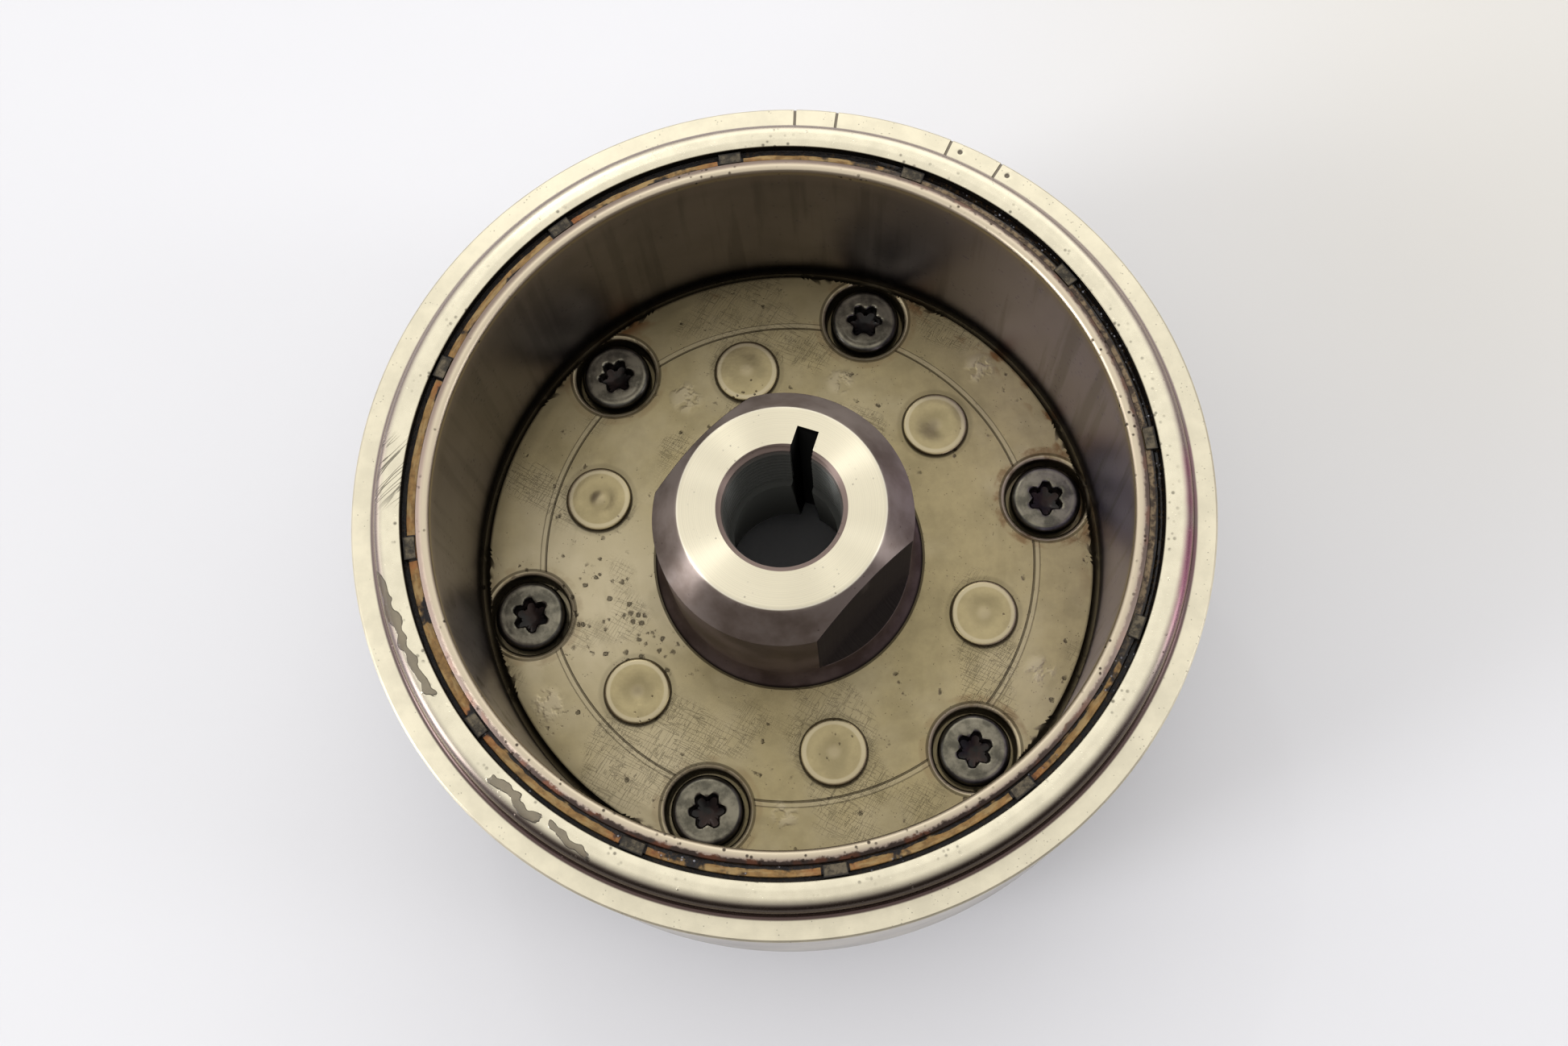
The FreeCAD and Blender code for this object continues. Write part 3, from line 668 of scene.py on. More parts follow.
def varnish_finish(colours):
    """Baked varnish, amber where it is clean and black and wet where grease has collected; the gap beside the
    bead is drawn black as painted shade, and white spots are painted glints.
    """
    s = Shader("amber_varnish", Specular_IOR_Level=0.32)
    patch, flecks, crumbs = s.noise(0.16, 4, 0.6), s.noise(0.9, 4, 0.65), s.noise(1.8, 3, 0.6)
    varnish = tuple(colours.varnish)
    amber = s.mix(flecks.ramp(0.35, 0.65), darker(varnish, 0.6), varnish)
    amber = s.mix(s.streaks(1.4, 0.35).ramp(0.45, 0.62) * 0.6, amber, (0.37, 0.26, 0.11))
    joint = s.folded(12, 0.0).math("ABSOLUTE")
    amber = s.mix(joint.ramp(6.5, 2.5) * patch.ramp(0.4, 0.6) * 0.7, amber, (0.30, 0.085, 0.018))
    wet = s.around(18, 48, 0.25)
    low = s.around(268, 55, 0.4)
    black = (patch + wet * 0.35 + low * 0.05 + s.r.ramp(55.25, 54.9) * (0.05 + low * 0.16)).ramp(0.56, 0.64)
    # black beyond the gap beside the bead: painted shade where it is dry, black oil where it is wet; thin
    # black lines mark the spacer joints
    gap = (s.x * GAP_ALONG[0] + s.y * GAP_ALONG[1]) / s.r + GAP_R
    black = black.max((s.r - gap).ramp(-0.12, 0.0)).max(joint.near(1.95, 0.13, 0.8))
    brown = s.r.ramp(55.7, 55.4) * wet * 0.85
    grease_and_gap_shade = s.mix(crumbs.ramp(0.5, 0.7), (0.006, 0.0045, 0.004), (0.035, 0.02, 0.008))
    grease_and_gap_shade = s.mix(brown, grease_and_gap_shade, s.mix(flecks.ramp(0.4, 0.6), (0.05, 0.028, 0.012), (0.27, 0.19, 0.10)))
    colour = s.mix(black, amber, grease_and_gap_shade)
    # painted glints: white spots on the oil beads by the bead's inner edge, and fainter ones on the crumbs at
    # the front
    bead = s.cells(1.3).ramp(0.32, 0.1) * s.r.near(56.45, 0.2, 0.5)
    bead = bead * s.around(24, 26, 0.3) * patch.ramp(0.38, 0.5)
    crumb = s.cells(0.9).ramp(0.22, 0.1) * low * patch.ramp(0.5, 0.56)
    colour = s.mix(bead.max(crumb * 0.5), colour, (0.55, 0.55, 0.60))
    rough = 0.55 - black * wet * 0.42 - black * 0.1 + flecks * 0.15 - crumb * 0.3 - bead * 0.3
    height = flecks * (1.0 - wet * 0.8) + crumbs * black * (0.6 - wet * 0.5) + bead * 2.0 + crumb * 1.5
    return s.finish(colour, rough.max(0.06), height, 0.14)


def screw_finish(colours):
    """Black oxide, warm grey on the face, darker deep in the recess."""
    s = Shader("screw_black_oxide", Metallic=1.0, Coat_Weight=0.25, Coat_Roughness=0.15)
    top = CUP_WEB
    cloud, grain = s.noise(0.35, 4, 0.6), s.noise(2.0, 3, 0.6)
    face = s.z.ramp(top - 0.14, top - 0.04)
    colour = s.mix(cloud.ramp(0.3, 0.7), tuple(colours.oxide), (0.10, 0.092, 0.072))
    colour = s.mix(face, colour, s.mix(cloud.ramp(0.35, 0.65), (0.085, 0.078, 0.056), (0.22, 0.20, 0.145)))
    # darker deep in the recess
    deep = s.z.ramp(top - 0.6, top - 1.3)
    darkening = s.mix(cloud.ramp(0.4, 0.6), darker(colours.oxide, 0.35), (0.022, 0.013, 0.010))
    colour = s.mix(deep, colour, darkening)
    return s.finish(colour, 0.26 + cloud * 0.18 - face * 0.04, grain, 0.015)


def rivet_finish(sizes, colours):
    """Peened steel of the same oil tint as the web, lighter at the middle, with a painted highlight inside
    the rounded edge and painted shade on its side.
    """
    s = Shader("rivet_steel", Metallic=1.0)
    cloud, grain = s.noise(0.22, 4, 0.6), s.noise(2.0, 3, 0.6)
    out = s.from_six(sizes.rivet_circle * MM, math.degrees(sizes.first_rivet))
    pits = s.cells(0.8).ramp(0.22, 0.05) * s.noise(0.15, 2).ramp(0.5, 0.6)
    web = tuple(colours.web)
    colour = s.mix(cloud.ramp(0.3, 0.7), darker(web, 0.74), darker(web, 0.98))
    # painted highlight: a lighter ring just inside the rounded edge
    colour = s.mix(out.near(4.85, 0.2, 1.5) * 0.6, colour, (0.52, 0.45, 0.30))
    colour = s.mix((out + cloud * 1.5).ramp(4.6, 2.4) * 0.45, colour, darker(web, 0.55))
    colour = s.mix(out.ramp(1.6, 0.4) * 0.35, colour, (0.50, 0.42, 0.27))
    # painted shade on the head's side, next to the web
    colour = s.mix(s.z.ramp(CUP_WEB + 0.5, CUP_WEB + 0.2) * 0.85, colour, (0.05, 0.036, 0.022))
    colour = s.mix(pits * 0.7, colour, (0.07, 0.05, 0.03))
    return s.finish(colour, 0.26 + cloud * 0.14, grain * 0.5 + cloud * 3.0 - pits * 3.0, 0.02)


def magnet_finish():
    """Sintered magnet, matt and dark, with a little varnish on it."""
    s = Shader("magnet_ferrite")
    grain = s.noise(1.2, 5, 0.7)
    colour = s.mix(grain.ramp(0.3, 0.7), (0.03, 0.028, 0.026), (0.07, 0.06, 0.05))
    return s.finish(colour, 0.55 + grain * 0.2, grain, 0.05, metallic=0.2)


def spacer_finish():
    """Dark grey-green moulding, scuffed and oil-stained, dark at its joints, with painted shade along its
    outer edge.
    """
    s = Shader("spacer_moulding", Specular_IOR_Level=0.35)
    grain, cloud = s.noise(1.5, 5, 0.7), s.noise(0.5, 3)
    colour = s.mix((grain + cloud).ramp(0.8, 1.2), (0.025, 0.02, 0.012), (0.13, 0.105, 0.065))
    # dark joints at the spacer's ends, and painted shade along its outer edge in the gap beside the bead
    edge = s.folded(12, 0.0).math("ABSOLUTE").ramp(1.55, 1.75).max(s.r.ramp(56.2, 56.5))
    colour = s.mix(edge * 0.9, colour, (0.01, 0.008, 0.006))
    return s.finish(colour, 0.5 + grain * 0.25, grain, 0.25)


def clutch_finish(colours):
    """Hardened clutch steel: turned outside, ground back face, light oil film."""
    s = Shader("clutch_steel", Metallic=1.0, Anisotropic=0.3, Anisotropic_Rotation=0.25)
    cloud, grain = s.noise(0.08, 4, 0.6), s.noise(2.0, 3, 0.6)
    rings, tool = s.noise_along(s.r, 4.0, 3), s.noise_along(s.z, 5.0, 3)
    on_side = s.r.ramp(CLUTCH_R * MM - 0.4, CLUTCH_R * MM - 0.1)
    steel = tuple(colours.clutch)
    colour = s.mix(cloud.ramp(0.3, 0.7), darker(steel, 0.8), steel)
    specks = s.cells(0.7).ramp(0.14, 0.05) * s.noise(0.14, 2).ramp(0.5, 0.6)
    holes = s.from_six(bpy.context.scene.rotor_cup.screw_circle * MM,
                       math.degrees(bpy.context.scene.rotor_cup.first_screw))
    colour = s.mix(holes.near(3.3, 0.3, 0.9) * 0.6, colour, (0.05, 0.035, 0.025))
    colour = s.mix(specks * 0.6, colour, (0.06, 0.04, 0.03))
    height = rings * (1.0 - on_side) + tool * on_side + grain * 0.4 - specks * 2.0
    return s.finish(colour, 0.26 + cloud * 0.16, height, 0.012)


def ground_finish(name, colour, roughness):
    """Small ground or drawn steel piece: even colour with fine marks and oil clouds."""
    s = Shader(name, Metallic=1.0)
    cloud, grain = s.noise(0.4, 4, 0.6), s.noise(3.0, 3, 0.6)
    shade = s.mix(cloud.ramp(0.3, 0.7), darker(colour, 0.8), colour)
    return s.finish(shade, roughness + cloud * 0.12, grain, 0.006)


# ---- the cup --------------------------------------------------------------------------------

def web_profile(r, web_z):
    """Height of the web at a radius: flat, then a quarter-round groove for the liner."""
    t = np.clip((r - GROOVE_IN) / (GROOVE_DEPTH * 0.7), 0, 1)
    return web_z - GROOVE_DEPTH * np.sqrt(np.clip(1 - (1 - t) ** 2, 0, 1))


def arc_between(start, end, step):
    """Numbers from start to end, both included, about one step apart."""
    return np.linspace(start, end, max(2, int(round(abs(end - start) / step)) + 1))


def screw_cell(sides, angles, centre_r, centre_angle, bore_r, mouth_r, seat_z, web_z):
    """Web round one screw. The cell's edge is a walk along both arcs and both sides; rings about
    the screw run out to it from the counterbore's floor, so each edge of the counterbore is
    a ring of the mesh."""
    low, high = angles[0], angles[-1]
    edge_r = np.concatenate([np.full(len(angles) - 1, sides[-1]), sides[:0:-1],
                             np.full(len(angles) - 1, sides[0]), sides[:-1]])
    edge_a = np.concatenate([angles[:-1], np.full(len(sides) - 1, high),
                             angles[:0:-1], np.full(len(sides) - 1, low)])
    edge = np.stack((edge_r * np.cos(edge_a), edge_r * np.sin(edge_a)), axis=-1)
    centre = np.array((centre_r * math.cos(centre_angle), centre_r * math.sin(centre_angle)))
    ray = edge - centre
    reach = np.linalg.norm(ray, axis=1)
    ray = ray / reach[:, None]
    rounding = mouth_r - bore_r
    swing = np.radians(np.linspace(0, 90, 7))
    near = np.concatenate([[0.0, bore_r - 0.6, bore_r, bore_r, bore_r], mouth_r - rounding * np.cos(swing)])
    lowered = np.concatenate([[-99, -99, -99, -98, -50], rounding * np.sin(swing) - rounding])
    far = np.linspace(0, 1, 9)[1:] ** 1.15
    distance = np.concatenate([np.broadcast_to(near, (len(edge), len(near))),
                               mouth_r + (reach[:, None] - mouth_r) * far], axis=1)
    spots = centre + ray[:, None, :] * distance[..., None]
    spots[:, -1] = edge
    ground = web_profile(np.linalg.norm(spots, axis=-1), web_z)
    ground[:, -1] = web_profile(edge_r, web_z)
    cut = np.full(distance.shape, np.inf)
    cut[:, :len(near)] = web_z + lowered
    cut[:, :4] = seat_z
    middle = (seat_z + np.minimum(ground[:, 5], cut[:, 5])) / 2
    z = np.minimum(ground, cut)
    z[:, 4] = middle
    return sheet_of(np.concatenate([spots, z[..., None]], axis=-1), closed_rows=True)


def cup_sheets(sizes):
    """The cup: a lathed shell with timing marks cut in its flat ring, and a web of twelve cells,
    every second one with a counterbore."""
    rim_z, web_z = sizes.rim_height * MM, sizes.web_height * MM
    outer, inner = CUP_R * MM, (CUP_R - sizes.wall) * MM
    step_r = outer - sizes.land * MM
    bead_r = inner - sizes.bead_reach * MM
    top, back = CUP_HIGH * MM, CUP_LOW * MM
    corners = [
        (GROOVE_OUT, web_z - GROOVE_DEPTH), (GROOVE_OUT, web_z), (inner, web_z),
        (inner, top - 1.6), (bead_r, top - 1.6),
        (bead_r, top - 0.22, 0.2), (bead_r + 1.2, top - 0.02, 2.5), ((step_r + bead_r) / 2 - 0.2, top, 3.0),
        (step_r - 0.85, top - 0.1, 1.7), (step_r - 0.7, rim_z, 0.65),
        (step_r + 0.1, rim_z), (outer - 0.3, rim_z, 0.12), (outer, rim_z - 0.3, 0.12),
        (outer, back, 4.0), (HUB_HOLE, back), (HUB_HOLE, web_z), (WEB_START, web_z),
    ]
    marks, dots = np.radians(MARKS), np.radians(DOTS)
    half = math.radians(MARK_HALF)
    extra = (marks[:, None] + half * np.array((-1.35, -1.0, -0.7, 0.7, 1.0, 1.35))).ravel()
    dot_half = math.radians(DOT_HALF)
    extra = np.concatenate([extra, (dots[:, None] + dot_half * np.linspace(-1, 1, 9)).ravel()])
    cell_edges = sizes.first_screw + math.radians(15) + math.radians(30) * np.arange(12)
    angles = even_angles(480, np.concatenate([extra, cell_edges]))
    path = outline(corners, 4.0)
    fine = [p for p in path if not (step_r + 0.1 < p[0] < outer - 0.45 and abs(p[1] - rim_z) < 1e-6)]
    land = np.linspace(step_r + 0.1, outer - 0.45, 12)[1:]
    at = next(i for i, p in enumerate(fine) if abs(p[0] - step_r - 0.1) < 1e-6 and abs(p[1] - rim_z) < 1e-6)
    path = np.array(fine[:at + 1] + [(r, rim_z) for r in land] + fine[at + 1:])
    r = np.broadcast_to(path[:, 0], (len(angles), len(path)))
    z = np.broadcast_to(path[:, 1], r.shape).copy()
    across = np.abs((angles[:, None] - marks + math.pi) % (2 * math.pi) - math.pi).min(axis=1)[:, None]
    on_land = (np.abs(z - rim_z) < 0.35) & (r > step_r)
    z -= np.where(on_land & (across < half * 1.2), MARK_DEPTH, 0.0)
    dot_r = (step_r + outer) / 2
    for dot in dots:
        away = np.hypot(r - dot_r, (angles[:, None] - dot) * dot_r)
        z -= np.where(on_land, DOT_DEPTH * np.clip(1 - (away / DOT_R) ** 2, 0, 1), 0)
    sheets = [sheet_of(lathe(r, z, angles), closed_rows=True)]
    sides = arc_between(WEB_START, GROOVE_OUT, 0.75)
    curve = GROOVE_IN + GROOVE_DEPTH * 0.7 * np.array((0, 0.15, 0.4, 0.7, 1))
    sides = np.unique(np.concatenate([sides, curve]))
    sides = sides[np.diff(sides, prepend=0) > 0.02]
    sides[-1] = GROOVE_OUT
    mouth_r = sizes.counterbore * MM + 1.15
    for i in range(12):
        middle = sizes.first_screw + math.radians(30) * i
        past = (angles - middle + math.radians(15) + 1e-6) % (2 * math.pi)
        inside = past < math.radians(30) + 2e-6
        cell = angles[inside][np.argsort(past[inside])]
        if i % 2 == 0:
            sheets.append(screw_cell(sides, cell, sizes.screw_circle * MM, middle,
                                     sizes.counterbore * MM, mouth_r, web_z - SEAT_DEPTH, web_z))
        else:
            sheets.append(sheet_of(lathe(sides, web_profile(sides, web_z), cell)))
    return sheets


# ---- the hub --------------------------------------------------------------------------------

def hub_sheets(sizes):
    """The hub: each angle has its own outline. Outside, a spanner flat holds the radius to
    distance / cos of the angle from the flat's middle; inside, the keyway opens the bore to the
    slot's straight sides and end, and the thread is a ridge that climbs one pitch a turn."""
    face, barrel, foot = sizes.face * MM, sizes.barrel * MM, sizes.foot * MM
    top, low, flange_top = HUB_HIGH * MM, FLANGE_LOW * MM, CUP_LOW * MM
    web_z = CUP_WEB
    shoulder = top - sizes.cone_drop * MM
    foot_z = web_z + FLARE
    flat, key_half, key_r = sizes.flats * MM / 2, sizes.key_width * MM / 2, sizes.key_reach * MM
    thread_r, mouth = sizes.thread_minor * MM, sizes.mouth * MM
    flat_edge = math.acos(flat / barrel)
    key_corner = math.atan2(key_half, key_r)
    key_mouth = math.asin(key_half / thread_r)
    extra = [sizes.flats_turn + k * math.pi + s * flat_edge for k in (0, 1) for s in (-1, 1)]
    extra += [sizes.key_turn + s * a for s in (-1, 1)
              for a in (*np.linspace(key_corner, key_mouth, 7), key_corner - 0.004, key_mouth + 0.002)]
    angles = even_angles(360, extra)
    a = angles[:, None]
    aside = np.abs((a - sizes.flats_turn + math.pi / 2) % math.pi - math.pi / 2)
    limit = np.where(aside < flat_edge + 1e-9, flat / np.cos(np.minimum(aside, flat_edge)), barrel)
    share = np.linspace(0, 1, 13)
    cone_end = np.minimum(barrel, limit)
    slope = (top - shoulder) / (barrel - face)
    edge = 0.12
    cone_r = (face + edge) + (cone_end - face - edge) * share
    cone_z = top - slope * (cone_r - face)
    flare = np.linspace(0, 1, 9)
    flare_r = barrel + (foot - barrel) * (0.25 * flare + 0.75 * flare ** 1.6)
    swing = np.linspace(0, math.pi / 2, 8)
    outer_r = [np.full_like(a, face - edge), cone_r, cone_end + 0 * share[::3],
               barrel - (barrel - cone_end) * np.cos(swing),
               flare_r + 0 * a, foot + 0 * a,
               (foot + (FLANGE_R * MM - foot) * share[::4]) + 0 * a,
               FLANGE_R * MM + 0 * a * share[::6],
               (FLANGE_R * MM + (14.5 - FLANGE_R * MM) * share[::3]) + 0 * a]
    drop = share[::3]
    cone_low = cone_z[:, -1:]
    outer_z = [np.full_like(a, top), cone_z, cone_low + (foot_z + FLAT_RUN_OUT + 0.5 - cone_low) * drop,
               foot_z + FLAT_RUN_OUT * (1 - np.sin(swing)) + 0 * a,
               foot_z + (web_z - foot_z) * flare + 0 * a, flange_top + 0 * a,
               flange_top + 0 * a * share[::4],
               flange_top + (low - flange_top) * share[::6] + 0 * a,
               low + 0 * a * share[::3]]
    turn_from_key = np.abs((a - sizes.key_turn + math.pi) % (2 * math.pi) - math.pi)
    slot_r = np.where(turn_from_key < math.pi / 2,
                      np.minimum(key_half / np.maximum(np.sin(turn_from_key), 1e-6),
                                 key_r / np.maximum(np.cos(turn_from_key), 1e-6)), 0)
    thread_top, thread_end = top - THREAD_TOP, top - THREAD_END
    z_taper = np.linspace(low, thread_end, 14)
    taper_end = sizes.taper_end * MM
    z_thread = np.linspace(thread_end, thread_top, 113)
    climb = (z_thread / (sizes.thread_pitch * MM) - a / (2 * math.pi)) % 1.0
    ridge = np.clip(np.abs(climb - 0.5) * 4 - 0.5, 0, 1)
    fade = np.clip((thread_top - 0.3 - z_thread) / 0.8, 0, 1)
    fade = fade * np.clip((z_thread - thread_end) / 1.5, 0, 1)
    z_mouth = np.linspace(thread_top + 0.25, top - 0.3, 17)
    turn_share = (z_mouth / (sizes.thread_pitch * MM) - a / (2 * math.pi)) % 1.0
    crest = np.clip(np.abs(turn_share - 0.5) * 4 - 0.6, 0, 1)
    bore_r = [taper_end - 0.1 * (z_taper - low) + 0 * a, thread_r + THREAD_DEPTH * (1 - ridge) * fade + 0 * a,
              np.full_like(a, thread_r), mouth - 0.62 * crest, np.full_like(a, mouth),
              np.full_like(a, mouth + 0.12)]
    bore_z = [z_taper + 0 * a, z_thread + 0 * a, np.full_like(a, thread_top), z_mouth + 0 * a,
              np.full_like(a, top - 0.12), np.full_like(a, top)]
    bore_r, bore_z = np.concatenate(bore_r, axis=1), np.concatenate(bore_z, axis=1)
    bore_r = np.maximum(bore_r, slot_r)
    face_r = bore_r[:, -1:] + (face - edge - bore_r[:, -1:]) * share[1:-1]
    r = np.concatenate(outer_r + [bore_r, face_r], axis=1)
    z = np.concatenate(outer_z + [bore_z, np.full_like(face_r, top)], axis=1)
    return [sheet_of(lathe(r, z, angles), closed_rows=True, closed_columns=True)]


# ---- the magnet ring ------------------------------------------------------------------------

def liner_sheets():
    """The liner: a thin sleeve with a lip rolled outwards, slightly wavy from drawing."""
    top, low = LINER_HIGH * MM, LINER_LOW * MM
    inner, outer, lip = LINER_IN, LINER_IN + LINER_WALL, LINER_R * MM
    corners = [(inner, low), (outer, low), (outer, top - 1.2, 0.1), (lip, top - 1.2, 0.1),
               (lip, top - 0.5, 0.3), (inner + 1.0, top + 0.015, 1.2), (inner, top - 0.22, 0.8)]
    path = outline(corners, 3.0, closed=True)
    angles = even_angles(480)
    lift = bump_at(path[:, 1], top, 1.4) * ripples(angles[:, None] * 3, 0 * angles[:, None], 5) * 0.03
    return [sheet_of(lathe(path[:, 0], path[:, 1] - np.abs(lift), angles), True, True)]


def varnish_sheets():
    """The varnish: a ring whose top is lumpy against the lip and drops into a gap beside the
    bead; black oil fills the gap on one side, drawn up at both edges where it wets the metal."""
    low, level = VARNISH_LOW * MM, VARNISH_HIGH * MM
    inner, outer = 54.68, VARNISH_R * MM + 0.1
    angles = even_angles(1100)
    a = angles[:, None]
    gap = GAP_R + GAP_ALONG[0] * np.cos(a) + GAP_ALONG[1] * np.sin(a)
    r = np.concatenate([inner + (gap - 0.15 - inner) * np.linspace(0, 1, 10), gap - 0.06, gap, gap + 0.04,
                        gap + 0.1 + (outer - gap - 0.1) * np.linspace(0, 1, 5)], axis=1)
    x, y = r * np.cos(a), r * np.sin(a)
    lumps = ripples(x, y, 11, 14, 1.6) * 0.14 + ripples(x, y, 12, 10, 4.5) * 0.06
    wet = 1 / (1 + np.exp(-(np.cos(a - math.radians(15)) - 0.62) / 0.03))
    drop = 1 / (1 + np.exp(-(r - gap) / 0.03))
    across = np.clip((r - gap) / (outer - gap), 0, 1)
    oil = 0.35 + 0.6 * (across * (1 - across)) * 4 + 0.12 * ripples(x, y, 31, 9, 0.9)
    drips = np.clip(ripples(x * 0.5, y * 0.5, 21, 12, 3.4) - 0.75, 0, 1) * wet
    fall = drop * (1.25 - wet * (1.25 - oil))
    z = level - 0.15 + np.clip(lumps, -0.3, 0.4) * (1 - 0.6 * wet) - fall + drips
    top = np.stack((x, y, np.clip(z, low + 0.15, level + 0.75)), axis=-1)
    floor = lathe(np.linspace(outer, inner, 3), np.full(3, low), angles)
    return [sheet_of(np.concatenate([top, floor], axis=1), True, True)]


# ---- screws and rivets ----------------------------------------------------------------------

def place_on(circle, first, i):
    """One of six places evenly spaced on a circle, in millimetres."""
    angle = first + math.radians(60) * i
    return circle * MM * np.array((math.cos(angle), math.sin(angle), 0))


def lobed_radius(angle, tip=2.88, root=2.05):
    """Radius of a six-lobe outline: a cosine of six turns between root and tip, its lobes
    rounded off by taking the cosine to a power below one where it is positive."""
    wave = np.cos(6 * angle)
    full = np.where(wave > 0, np.abs(wave) ** 0.6, -np.abs(wave))
    return (tip + root) / 2 + (tip - root) / 2 * full


def screw_sheets(place, spin):
    """One screw: head with a rounded rim, six-lobe recess with a coned bottom, and shank."""
    top, tip = CUP_WEB, 1.8
    angles = even_angles(144)
    a = angles[:, None]
    lobe = lobed_radius(a)
    swing = np.radians(np.linspace(90, 0, 10))
    edge = HEAD_R - HEAD_FLAT_R
    rim_r, rim_z = HEAD_FLAT_R + edge * np.cos(swing), top - edge + edge * np.sin(swing)
    share = np.linspace(0, 1, 8)
    recess_r = np.concatenate([0 * a, 0.45 + 0 * a, 1.1 + 0 * a, 1.9 + 0 * a, lobe * 0.93, lobe * 0.95,
                               lobe * 0.98, lobe, lobe + 0.14, lobe + 0.36], axis=1)
    recess_z = np.array((top - 2.85, top - 2.95, top - 2.8, top - 2.6, top - 2.45, top - 1.2, top - 0.6,
                         top - 0.34, top - 0.2, top - 0.02))
    top_r = lobe + 0.36 + (HEAD_FLAT_R - lobe - 0.36) * share[1:-1]
    top_z = top - 0.05 * np.exp(-((top_r - HEAD_FLAT_R) / 0.4) ** 2)
    outside = np.array(((HEAD_R, top - SEAT_DEPTH), (SHANK_R, top - SEAT_DEPTH), (SHANK_R, 12.0),
                        (SHANK_R, tip + 0.6), (SHANK_R - 0.6, tip), (0.0, tip)))
    r = np.concatenate([recess_r, top_r, rim_r + 0 * a, outside[:, 0] + 0 * a], axis=1)
    z = np.concatenate([recess_z + 0 * a, top_z, rim_z + 0 * a, outside[:, 1] + 0 * a], axis=1)
    points = lathe(r, z, angles)
    return [sheet_of(turned_by(points, spin) + place, closed_rows=True)]


def rivet_sheets(place, crown, dish, nub, seed):
    """One rivet: a peened head whose crown, dish and nub are sums of smooth steps in the
    distance from its middle, over a straight edge, with a countersunk tail."""
    web, low = CUP_WEB, FLANGE_LOW * MM
    angles = even_angles(120)
    t = np.concatenate([np.linspace(0, 0.9, 30), 0.91 + 0.09 * np.sin(np.linspace(0, math.pi / 2, 9))])
    rr = RIVET_R * t
    rim = 0.65 + 0.35 * np.sqrt(np.clip(1 - np.clip((t - 0.91) / 0.09, 0, 1) ** 2, 0, 1))
    z = web + 0.68 * rim + crown * (1 - t ** 2) * rim
    z = z - dish * bump_at(t, 0.0, 0.72) + nub * bump_at(t, 0.0, 0.36)
    a = angles[:, None]
    x, y = rr * np.cos(a), rr * np.sin(a)
    z = z + 0.05 * ripples(x, y, seed, 8, 1.1) * (1 - t ** 4)
    z[:, 0] = z[:, 0].mean()
    outside = np.array(((RIVET_R, web), (RIVET_SHANK_R, web), (RIVET_SHANK_R, low + 1.5), (5.0, low),
                        (0.0, low)))
    r = np.concatenate([rr + 0 * a, outside[:, 0] + 0 * a], axis=1)
    z = np.concatenate([z, outside[:, 1] + 0 * a], axis=1)
    return [sheet_of(lathe(r, z, angles) + place, closed_rows=True)]


# ---- the starter clutch's small pieces ------------------------------------------------------

def box_middle(node):
    """The middle of a node's box, in millimetres."""
    low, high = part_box(node)
    return np.array((low + high) / 2) * MM


def roller_sheets(node):
    """A roller: a ground cylinder with rounded ends and a shallow dimple in each."""
    low, high = (np.array(corner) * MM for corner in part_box(node))
    r = (high[0] - low[0]) / 2
    half = [(0.0, 0.15), (1.6, 0.15, 0.2), (2.0, 0.0, 0.2), (r, 0.0, 0.45)]
    path = outline([(x, low[2] + dip, *rounding) for x, dip, *rounding in half]
                   + [(x, high[2] - dip, *rounding) for x, dip, *rounding in reversed(half)])
    middle = (low + high) / 2 * (1, 1, 0)
    return [sheet_of(lathe(path[:, 0], path[:, 1], even_angles(96)) + middle, closed_rows=True)]


def along_axis(points, start, axis):
    """Points drawn about +Z, laid along another axis from a start point."""
    turn_to = Vector((0, 0, 1)).rotation_difference(Vector(axis)).to_matrix()
    return points @ np.array(turn_to).T + start


def clutch_line(i):
    """Where a roller's middle rests, and the direction it is pushed back in."""
    return box_middle("roller_%02d" % i), np.array(JOINTS["roller_%02d_slide" % i]["axis"])


def plunger_sheets(i):
    """A plunger: a drawn cup with a rounded closed end against the roller."""
    middle, axis = clutch_line(i)
    outer, inner, tall = 3.4, 2.6, 8.0
    path = outline([(0.0, 0.0), (outer, 0.0, 0.7), (outer, tall, 0.15), (inner, tall, 0.15),
                    (inner, PLUNGER_FLOOR, 0.4), (0.0, PLUNGER_FLOOR)])
    points = lathe(path[:, 0], path[:, 1], even_angles(72))
    start = middle + axis * PLUNGER_AWAY
    start[2] = CLUTCH_MIDDLE
    return [sheet_of(along_axis(points, start, axis), closed_rows=True)]


def spring_sheets(i):
    """A spring: a round wire carried along a helix whose pitch closes up at both ends."""
    middle, axis = clutch_line(i)
    wire, coil, turns = 0.35, 2.0, 8
    t = np.linspace(0, 1, 561)[:, None]
    ease = t - 0.11 * np.sin(2 * math.pi * t) / 1.2
    around = 2 * math.pi * turns * t
    core = np.concatenate([coil * np.cos(around), coil * np.sin(around),
                           wire + (SPRING_LENGTH - 2 * wire) * ease], axis=1)
    ahead = np.gradient(core, axis=0)
    ahead /= np.linalg.norm(ahead, axis=1)[:, None]
    out = np.concatenate([np.cos(around), np.sin(around), 0 * t], axis=1)
    up = np.cross(ahead, out)
    v = np.linspace(0, 2 * math.pi, 13)[None, :-1, None]
    skin = core[:, None] + wire * (np.cos(v) * out[:, None] + np.sin(v) * up[:, None])
    ends = [np.broadcast_to(core[k], (1, 12, 3)) for k in (0, -1)]
    points = np.concatenate([ends[0], skin, ends[1]])
    start = middle + axis * (PLUNGER_AWAY + PLUNGER_FLOOR)
    start[2] = CLUTCH_MIDDLE
    return [sheet_of(along_axis(points, start, axis), closed_columns=True)]


# ---- operators ------------------------------------------------------------------------------

